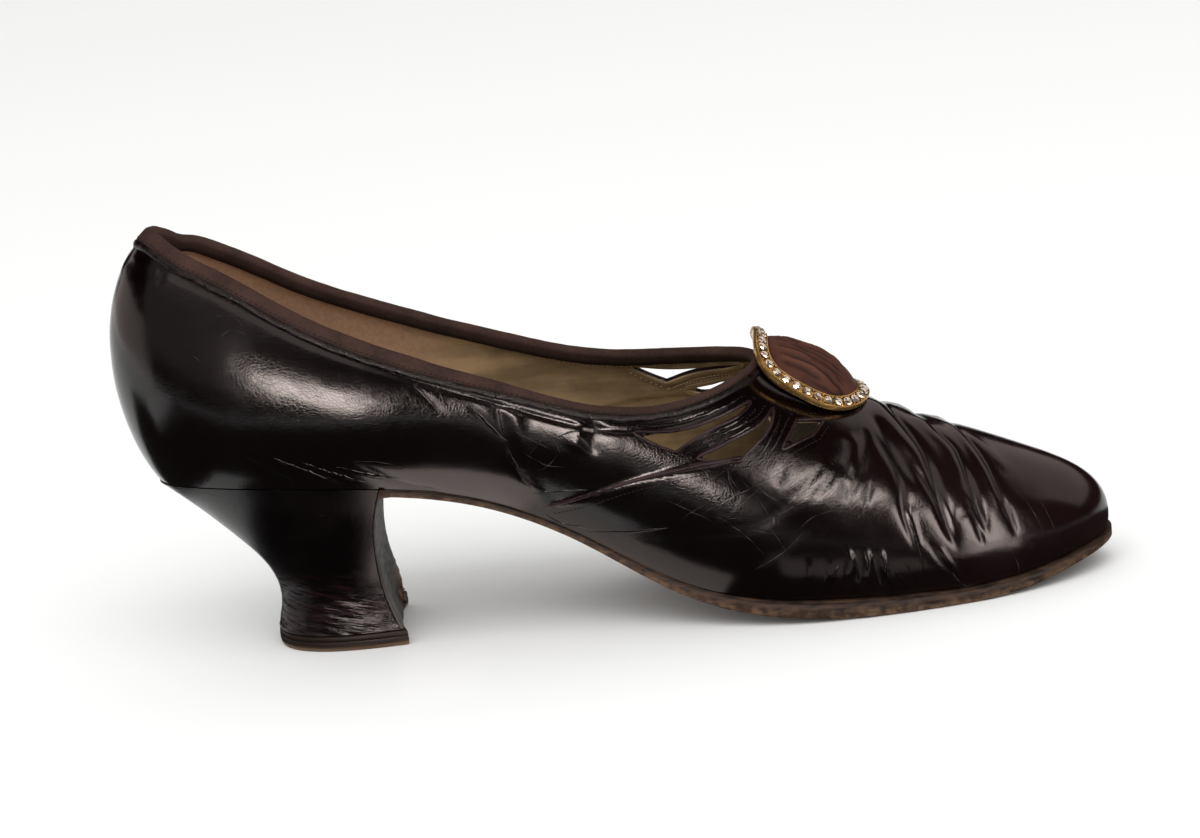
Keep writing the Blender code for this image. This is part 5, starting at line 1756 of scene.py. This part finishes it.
class SHOE_OT_sole(bpy.types.Operator):
    """Builds the outsole with its worn rim and its flap down the heel breast"""

    bl_idname = "shoe.sole"
    bl_label = "Outsole"

    def execute(self, context):
        last = Last()
        lengths = np.concatenate([np.linspace(BREAST_X + 3, TOE_START, 120),
                                  crowded(last.toe_x - 0.05, TOE_START, 30)[1:]])
        rings, flaps, raws = [], [], []
        for x in lengths[::-1]:
            inner, outer = sole_edges(last, x, read(SOLE, "margin", x)) - (0, 0, GAP)
            rings.append(sole_ring(inner, outer, float(read(SOLE, "thick", x)), SOLE_RIM))
            flaps.append(0.0)
            raws.append(np.zeros(len(rings[0])))
        seat_z = last.edge(np.array(last.station(-1, BREAST_X)))[2] - GAP
        rim = np.array(SOLE_RIM)
        level, shoulder = np.linspace(-1, 1, SOLE_COLUMNS + 2)[1:-1], 1 - rim[:, 1] / FLAP_HALF
        across = np.concatenate([level, shoulder, -level, -shoulder[::-1]])
        depth = np.concatenate([np.zeros(SOLE_COLUMNS), rim[:, 0], np.ones(SOLE_COLUMNS), rim[::-1, 0]])
        for f in np.linspace(0, 0.995, 44):
            half, front = float(read(HEEL, "half", f)) * FLAP_WIDTH, float(read(HEEL, "breast", f))
            z = seat_z + (HEEL_BASE_Z - seat_z) * f
            drop = float(read(SOLE, "thick", BREAST_X)) * max(0.0, 1 - f / 0.06)
            hollow = BREAST_HOLLOW * (1 - across**2) * min(1, f / BREAST_FADE)
            far = soft_step(across, 0.45, 1.0)
            ragged = 0.8 + 0.4 * noise.noise(Vector((31 * f, 7.0, 2.0)))
            curl = FLAP_CURL * soft_step(f, 0.45, 0.8) * (1 - soft_step(f, 0.88, 0.98)) * far * ragged
            tear = FLAP_TEAR * soft_step(f, 0.84, 0.97) * ragged
            thick = FLAP_THICK * (1 - 0.65 * across**8 * float(soft_step(f, 0.02, 0.1)))
            ring = np.stack([front + GAP - hollow + thick * depth + curl, half * across - tear * far,
                             z - drop * depth + 0 * across], -1)
            rings.append(ring)
            flaps.append(float(soft_step(f, 0.0, 0.08)))
            raws.append(soft_step(f, 0.72, 0.86) * soft_step(across, 0.55, 0.8))
        rings = np.array(rings)
        rings[..., 2] = np.maximum(rings[..., 2], 0.0)
        rims = np.ones((len(rings), 1)) * depth
        flap = np.array(flaps)[:, None] * np.ones(len(depth))
        relief = 0.12 * lumps(rings, 3.0, 4.0) * (rings[..., 2] > 0.05)
        rings[..., 1] += relief * np.sign(rings[..., 1])
        piece = swept_piece("leather_outsole", rings, False, rim=rims, flap=flap, raw=np.array(raws))
        settle(piece, sole_leather(), "sole_leather", "outsole", angle=50.0)
        return {"FINISHED"}


def heel_ring(last, f, count, breast_count):
    """One level of the heel: 0 is the seat and 1 the base."""
    sweep = np.linspace(0, 1, count)
    rear = last.edge(np.array(last.heel_station))
    back, front, half = (float(read(HEEL, name, f)) for name in ("back", "breast", "half"))
    seat_half = float(read(HEEL, "half", 0))
    lines = []
    for side in (-1, 1):
        start, end = last.heel_station, last.station(side, BREAST_X)
        edge = last.edge(start + (end - start) * sweep)
        along = (edge[:, 0] - rear[0]) / (BREAST_X - rear[0])
        seat_z = edge[:, 2] - GAP
        z = seat_z + (HEEL_BASE_Z - seat_z) * f
        lines.append(np.stack([back + along * (front - back), edge[:, 1] / seat_half * half, z], -1))
    inner, outer = lines
    share = np.linspace(0, 1, breast_count + 2)[1:-1]
    breast = inner[-1] + (outer[-1] - inner[-1]) * share[:, None]
    breast[:, 0] -= BREAST_HOLLOW * (1 - (2 * share - 1) ** 2) * min(1, f / BREAST_FADE)
    return np.concatenate([inner, breast, outer[:0:-1]])


class SHOE_OT_heel(bpy.types.Operator):
    """Builds the covered heel with the creases of its kid"""

    bl_idname = "shoe.heel"
    bl_label = "Heel"

    def execute(self, context):
        last = Last()
        levels = np.linspace(0, 1, HEEL_LEVELS)
        rings = np.array([heel_ring(last, f, *HEEL_COLUMNS) for f in levels])
        middle = rings.mean(axis=1, keepdims=True)
        away = unit((rings - middle) * (1, 1, 0))
        # low marks the wrinkled foot of the heel, where the painted glint lies too.
        low = soft_step(levels, 0.52, 0.92)[:, None] * np.ones(rings.shape[1])
        flat = rings * (0.35, 0.35, 1.0) + rings[..., :1] * (0.0, 0.0, HEEL_SLANT)
        wrinkles = 0.26 * low * lumps(flat, 1.3, 6.0) + 0.05 * lumps(rings, 7.0, 8.0)
        wrinkles[:3] = 0
        rings += wrinkles[..., None] * away
        piece = swept_piece("kid_heel", rings, False, low=low)
        settle(piece, heel_kid(), "heel_cover", "heel", angle=50.0)
        return {"FINISHED"}


class SHOE_OT_top_piece(bpy.types.Operator):
    """Builds the heel's stacked wearing piece"""

    bl_idname = "shoe.top_piece"
    bl_label = "Top piece"

    def execute(self, context):
        base = heel_ring(Last(), 1.0, 30, 10)
        rear, front = base[:, 0].min(), base[:, 0].max()
        whole = 1 - CORNER_WEAR * soft_step(base[:, 1], 3, 14)
        base[:, 0] += (GAP + FLAP_THICK) * whole * np.clip((base[:, 0] - rear) / (front - rear), 0, 1) ** 4
        middle = base.mean(axis=0)
        away = unit((base - middle) * (1, 1, 0))
        rings = []
        for share, swell in TOP_PIECE_EDGE:
            ring = base + swell * away
            ring[:, 2] = TOP_PIECE * share
            rings.append(ring)
        piece = swept_piece("leather_top_piece", np.array(rings), False)
        settle(piece, top_piece_leather(), "top_piece_leather", "top_piece", angle=50.0)
        return {"FINISHED"}


class SHOE_OT_sock(bpy.types.Operator):
    """Lays the insole with its bare leather sock and curved end"""

    bl_idname = "shoe.sock"
    bl_label = "Insole and sock"

    def execute(self, context):
        last = Last()
        rear, tip = last.heel_x + SOCK_INSET, last.toe_x - SOCK_INSET
        lengths = np.concatenate([crowded(rear, SEAT_END, 20)[::-1],
                                  np.linspace(SEAT_END, TOE_START, 150)[1:-1], crowded(tip, TOE_START, 20)])
        across = np.linspace(0, 1, 36)
        rings, fronts = [], []
        for x in lengths:
            inner, outer = sole_edges(last, x, -SOCK_INSET)
            outer[1] = max(outer[1], inner[1] + 0.2)
            top = inner + (outer - inner) * across[:, None] + (0, 0, INSOLE + GAP)
            crown = 1 - (2 * across - 1) ** 2
            cloth = soft_step(top[:, 0] - SOCK_BOW * crown, SOCK_END - 0.6, SOCK_END + 0.6)
            top[:, 2] += SOCK_STEP * (1 - cloth) * soft_step(crown, 0, 0.12) + 0.5 * crown
            top[:, 2] += SOCK_CURL * np.exp(-crown / 0.06)
            top[:, 2] += 0.12 * lumps(top, 9.0, 3.0)
            under = inner + (outer - inner) * across[::-1, None] + (0, 0, GAP)
            rings.append(np.concatenate([top, under]))
            fronts.append(np.concatenate([cloth, np.ones(len(across))]))
        piece = swept_piece("leather_sock", np.array(rings), False, front=np.array(fronts))
        settle(piece, sock_leather(), "insole_leather", "insole", angle=50.0)
        return {"FINISHED"}


def buckle_frame_at(turn):
    """Middle of the band, its outward side direction and its face normal, at a turn of 0 to 1."""

    def place(angle):
        square = TOE_SIDE_SQUARE if math.cos(angle) > 0 else THROAT_SIDE_SQUARE
        c, s = math.cos(angle), math.sin(angle)
        p = math.copysign(abs(c) ** (2 / square), c)
        q = math.copysign(abs(s) ** (2 / square), s)
        rear, front = np.array(BUCKLE_REAR), np.array(BUCKLE_FRONT)
        slope = (front - rear) / np.linalg.norm(front - rear)
        x, z = (rear + front) / 2 + slope * p * np.linalg.norm(front - rear) / 2
        lift = -BUCKLE_DROOP * q * q
        return np.array((x - slope[1] * lift, q * BUCKLE_HALF, z + slope[0] * lift)), slope, q

    angle = 2 * math.pi * turn
    point, slope, q = place(angle)
    run = place(angle + 0.01)[0] - place(angle - 0.01)[0]
    run /= np.linalg.norm(run)
    tilt = math.atan(2 * BUCKLE_DROOP * q / BUCKLE_HALF)
    face = np.array((-slope[1] * math.cos(tilt), math.sin(tilt), slope[0] * math.cos(tilt)))
    side = np.cross(run, face)
    side /= np.linalg.norm(side)
    return point, side, np.cross(side, run)


def buckle_turns(count):
    """Turns evenly spaced along the band."""
    turns = np.linspace(0, 1, 721)
    points = np.array([buckle_frame_at(t)[0] for t in turns])
    lengths = run_lengths(points)
    return np.interp(np.arange(count) / count * lengths[-1], lengths, turns)


class SHOE_OT_buckle(bpy.types.Operator):
    """Builds the gilt buckle with its channel and beaded rims"""

    bl_idname = "shoe.buckle"
    bl_label = "Buckle"

    def execute(self, context):
        material = gilt_metal()
        rings = []
        for turn in buckle_turns(4 * STONES):
            point, side, face = buckle_frame_at(turn)
            rings.append([point + a * side + b * face for a, b in BAND])
        settle(swept_piece("gilt_buckle", np.array(rings), True), material, "gilt_metal", "buckle_frame")
        bead = added(bpy.ops.mesh.primitive_ico_sphere_add, "bead", subdivisions=2, radius=BEAD)
        in_edit_mode(bead, lambda: bpy.ops.transform.resize(value=(1.0, 1.0, 0.8)))
        frames = []
        for turn in buckle_turns(STONES):
            point, side, face = buckle_frame_at(turn)
            axes = (side, np.cross(face, side), face)
            frames += [(axes, point + across * side - 0.05 * face) for across in BEAD_ROWS]
        settle(joined_piece("gilt_beads", bead, frames), material, "gilt_metal")
        return {"FINISHED"}


def cut_stone():
    """A round paste stone: a cylinder with its girdle, a tapered crown and a smaller foot."""
    cylinder = bpy.ops.mesh.primitive_cylinder_add
    stone = added(cylinder, "stone", vertices=STONE_SIDES, radius=STONE, depth=0.3)

    def pick(up):
        bpy.ops.mesh.select_all(action="DESELECT")
        bpy.ops.object.mode_set(mode="OBJECT")
        for face in stone.data.polygons:
            face.select = face.normal.z * up > 0.9
        bpy.ops.object.mode_set(mode="EDIT")

    def shape():
        bpy.ops.mesh.select_mode(type="FACE")
        pick(1)
        bpy.ops.mesh.extrude_region_move(TRANSFORM_OT_translate={"value": (0, 0, 0.26)})
        bpy.ops.transform.resize(value=(0.8, 0.8, 1.0))
        bpy.ops.mesh.extrude_region_move(TRANSFORM_OT_translate={"value": (0, 0, 0.2)})
        bpy.ops.transform.resize(value=(0.62, 0.62, 1.0))
        bpy.ops.transform.rotate(value=math.pi / STONE_SIDES, orient_axis="Z", center_override=(0, 0, 0))
        pick(-1)
        bpy.ops.mesh.extrude_region_move(TRANSFORM_OT_translate={"value": (0, 0, -0.25)})
        bpy.ops.transform.resize(value=(0.75, 0.75, 1.0))

    in_edit_mode(stone, shape)
    return stone


class SHOE_OT_stones(bpy.types.Operator):
    """Sets the paste stones in the buckle's channel"""

    bl_idname = "shoe.stones"
    bl_label = "Stones"

    def execute(self, context):
        template, material = cut_stone(), paste_stone()
        for i, turn in enumerate(buckle_turns(2 * STONES)[1::2]):
            point, side, face = buckle_frame_at(turn)
            stone = template.copy()
            stone.data = template.data.copy()
            stone.name = stone.data.name = "paste_%02d" % (i + 1)
            bpy.context.collection.objects.link(stone)
            run = np.cross(face, side)
            lean = 0.12 * math.sin(5.3 * i)
            tilted = unit(face + lean * side + 0.12 * math.cos(3.7 * i) * run)
            first = unit(side - np.dot(side, tilted) * tilted)
            axes = np.stack([first, np.cross(tilted, first), tilted], 1) * MM
            place = Matrix(np.block([[axes, metres(point - 0.12 * face)[:, None]], [0, 0, 0, 1]]).tolist())
            stone.data.transform(place)
            settle(stone, material, "paste_stone", "stone_%02d" % (i + 1), angle=5.0)
        bpy.data.objects.remove(template)
        return {"FINISHED"}


def vamp_height(last, x, y):
    """Height of the vamp above a point of the plan."""
    at = last.station(-1 if y < 0 else 1, x)
    v = np.linspace(0.3, 1, 200)
    line = last.surface(np.full(v.shape, at), v)
    return float(np.interp(abs(y), np.abs(line[::-1, 1]), line[::-1, 2]))


class SHOE_OT_silk(bpy.types.Operator):
    """Puffs the gathered silk through the buckle"""

    bl_idname = "shoe.silk"
    bl_label = "Silk"

    def execute(self, context):
        last = Last()
        middle = (BUCKLE_REAR[0] + BUCKLE_FRONT[0]) / 2 + SILK_SHIFT
        shares = np.concatenate([np.linspace(1, 0.04, SILK_ROWS), [0.0]])
        angles = np.arange(SILK_SPOKES) * 2 * math.pi / SILK_SPOKES
        square = np.where(np.cos(angles) > 0, TOE_SIDE_SQUARE, THROAT_SIDE_SQUARE)
        p = np.copysign(np.abs(np.cos(angles)) ** (2 / square), np.cos(angles))
        q = np.copysign(np.abs(np.sin(angles)) ** (2 / square), np.sin(angles))
        x = np.where(p < 0, SILK_REAR, SILK_HALF[0]) * p * shares[:, None]
        y = SILK_HALF[1] * shares[:, None] * q
        vamp = np.array([[vamp_height(last, middle + a, b) for a, b in zip(*row)] for row in zip(x, y)])
        share = shares[:, None] * np.ones(SILK_SPOKES)
        puff = np.clip(1 - share**2.6, 0, 1) ** 0.75
        relief, fold, _ = crease_relief(GATHERS, x, y)
        raised = [row for row in GATHERS if row[0] == "depth" or row[0] < 0]
        crest, _, _ = crease_relief(raised, x, y)
        fade = soft_step(1 - share, 0.02, 0.2)
        height = SILK_BASE + SILK_CROWN * puff + fade * sizes().gathers * relief
        surface = np.stack([middle + x, y, vamp + height], -1)
        drawn = lumps(surface * (0.5, 1.0, 1.0), 2.4, 4.0)
        height += fade * (0.35 * drawn + 0.12 * lumps(surface, 1.2, 6.0))
        top = np.stack([middle + x, y, vamp + height], -1)
        under = np.stack([middle + x[::-1], y[::-1], vamp[::-1] + SILK_SEAT], -1)
        # fold and crest carry the painted shade and the painted highlight of the gathers.
        values = {"fold": fold, "crest": np.clip(crest, 0, 1)}
        values = {name: wrapped(np.concatenate([0 * v, v])) for name, v in values.items()}
        pad = sheet_piece("puffed_silk", wrapped(np.concatenate([under, top])), **values)
        in_edit_mode(pad, merge(), face_outwards)
        settle(pad, brown_silk(), "brown_silk", "ribbon_pad", angle=75.0)
        return {"FINISHED"}


def light_box(name, azimuth, elevation, roll, half_wide, half_high, distance, radiance, matt, gloss):
    """A soft box that faces the shoe; its reach in the reflections is set by its half angles."""
    a, e = math.radians(azimuth), math.radians(elevation)
    way = Vector((math.sin(a) * math.cos(e), -math.cos(a) * math.cos(e), math.sin(e)))
    box = added(bpy.ops.object.light_add, name, type="AREA", location=way * distance + LIGHT_AIM)
    turn = way.to_track_quat("Z", "Y").to_matrix() @ Matrix.Rotation(math.radians(roll), 3, "Z")
    box.rotation_euler = turn.to_euler()
    box.data.shape = "RECTANGLE"
    box.data.size = 2 * distance * math.tan(math.radians(half_wide))
    box.data.size_y = 2 * distance * math.tan(math.radians(half_high))
    box.data.energy = radiance * math.pi * box.data.size * box.data.size_y
    box.visible_camera = False
    box.visible_diffuse = matt
    box.visible_glossy = gloss
    if not matt:
        box.data.color = LIGHT_TINT


class SHOE_OT_stage(bpy.types.Operator):
    """Sets the pale floor, the studio lights and the camera"""

    bl_idname = "shoe.stage"
    bl_label = "Stage"

    def execute(self, context):
        scene = context.scene
        floor = added(bpy.ops.mesh.primitive_plane_add, "floor", size=FLOOR_SIZE)
        floor.data.materials.append(pale_floor())
        for name, (near_ends, far_ends, near, far, glow) in CARDS.items():
            card = added(bpy.ops.mesh.primitive_plane_add, name, size=1)
            height = CARD_HEIGHTS[glow > 0]
            corners = [(x, far, height) for x in far_ends] + [(x, near, height) for x in near_ends]
            card.data.vertices.foreach_set("co", np.array(corners, np.float32).ravel())
            card.data.update()
            card.data.materials.append(floor_card(name, glow))
            for rays in ("camera", "diffuse", "transmission", "volume_scatter", "shadow"):
                setattr(card, "visible_" + rays, False)
        for name, values in LIGHTS.items():
            light_box(name, *values)
        world = bpy.data.worlds.new("studio")
        world.use_nodes = True
        background = world.node_tree.nodes["Background"].inputs
        background["Color"].default_value = (1.0, 1.0, 1.0, 1.0)
        background["Strength"].default_value = SKY
        scene.world = world
        world.cycles_visibility.glossy = False
        camera = added(bpy.ops.object.camera_add, "camera", location=CAMERA_PLACE)
        camera.data.lens = CAMERA_LENS
        away = (Vector(CAMERA_PLACE) - Vector(CAMERA_AIM)).normalized()
        right = Vector((0, 0, 1)).cross(away).normalized()
        up = away.cross(right)
        turned = right * math.cos(CAMERA_ROLL) - up * math.sin(CAMERA_ROLL)
        axes = Matrix((turned, away.cross(turned), away)).transposed()
        camera.rotation_euler = axes.to_euler()
        camera.data.clip_start = 0.05
        scene.camera = camera
        scene.view_settings.view_transform = "Standard"
        return {"FINISHED"}


class SHOE_PT_panel(bpy.types.Panel):
    """Lists the shoe's pieces, sizes and colours"""

    bl_idname = "SHOE_PT_panel"
    bl_label = "Buckle court shoe"
    bl_space_type = "VIEW_3D"
    bl_region_type = "UI"
    bl_category = "Shoe"

    def draw(self, context):
        for operator in OPERATORS:
            self.layout.operator(operator.bl_idname)
        for group in (context.scene.shoe_sizes, context.scene.shoe_colours):
            column = self.layout.column()
            for name in group.__annotations__:
                column.prop(group, name)


OPERATORS = (
    SHOE_OT_upper,
    SHOE_OT_lining,
    SHOE_OT_edges,
    SHOE_OT_wrinkles,
    SHOE_OT_stitches,
    SHOE_OT_binding,
    SHOE_OT_sole,
    SHOE_OT_heel,
    SHOE_OT_top_piece,
    SHOE_OT_sock,
    SHOE_OT_buckle,
    SHOE_OT_stones,
    SHOE_OT_silk,
    SHOE_OT_stage,
)
CLASSES = (ShoeSizes, ShoeColours, *OPERATORS, SHOE_PT_panel)


def register():
    for item in CLASSES:
        bpy.utils.register_class(item)
    bpy.types.Scene.shoe_sizes = bpy.props.PointerProperty(type=ShoeSizes)
    bpy.types.Scene.shoe_colours = bpy.props.PointerProperty(type=ShoeColours)


def unregister():
    del bpy.types.Scene.shoe_colours
    del bpy.types.Scene.shoe_sizes
    for item in reversed(CLASSES):
        bpy.utils.unregister_class(item)


def main():
    register()
    for operator in OPERATORS:
        group, name = operator.bl_idname.split(".")
        getattr(getattr(bpy.ops, group), name)()


if __name__ == "__main__":
    main()
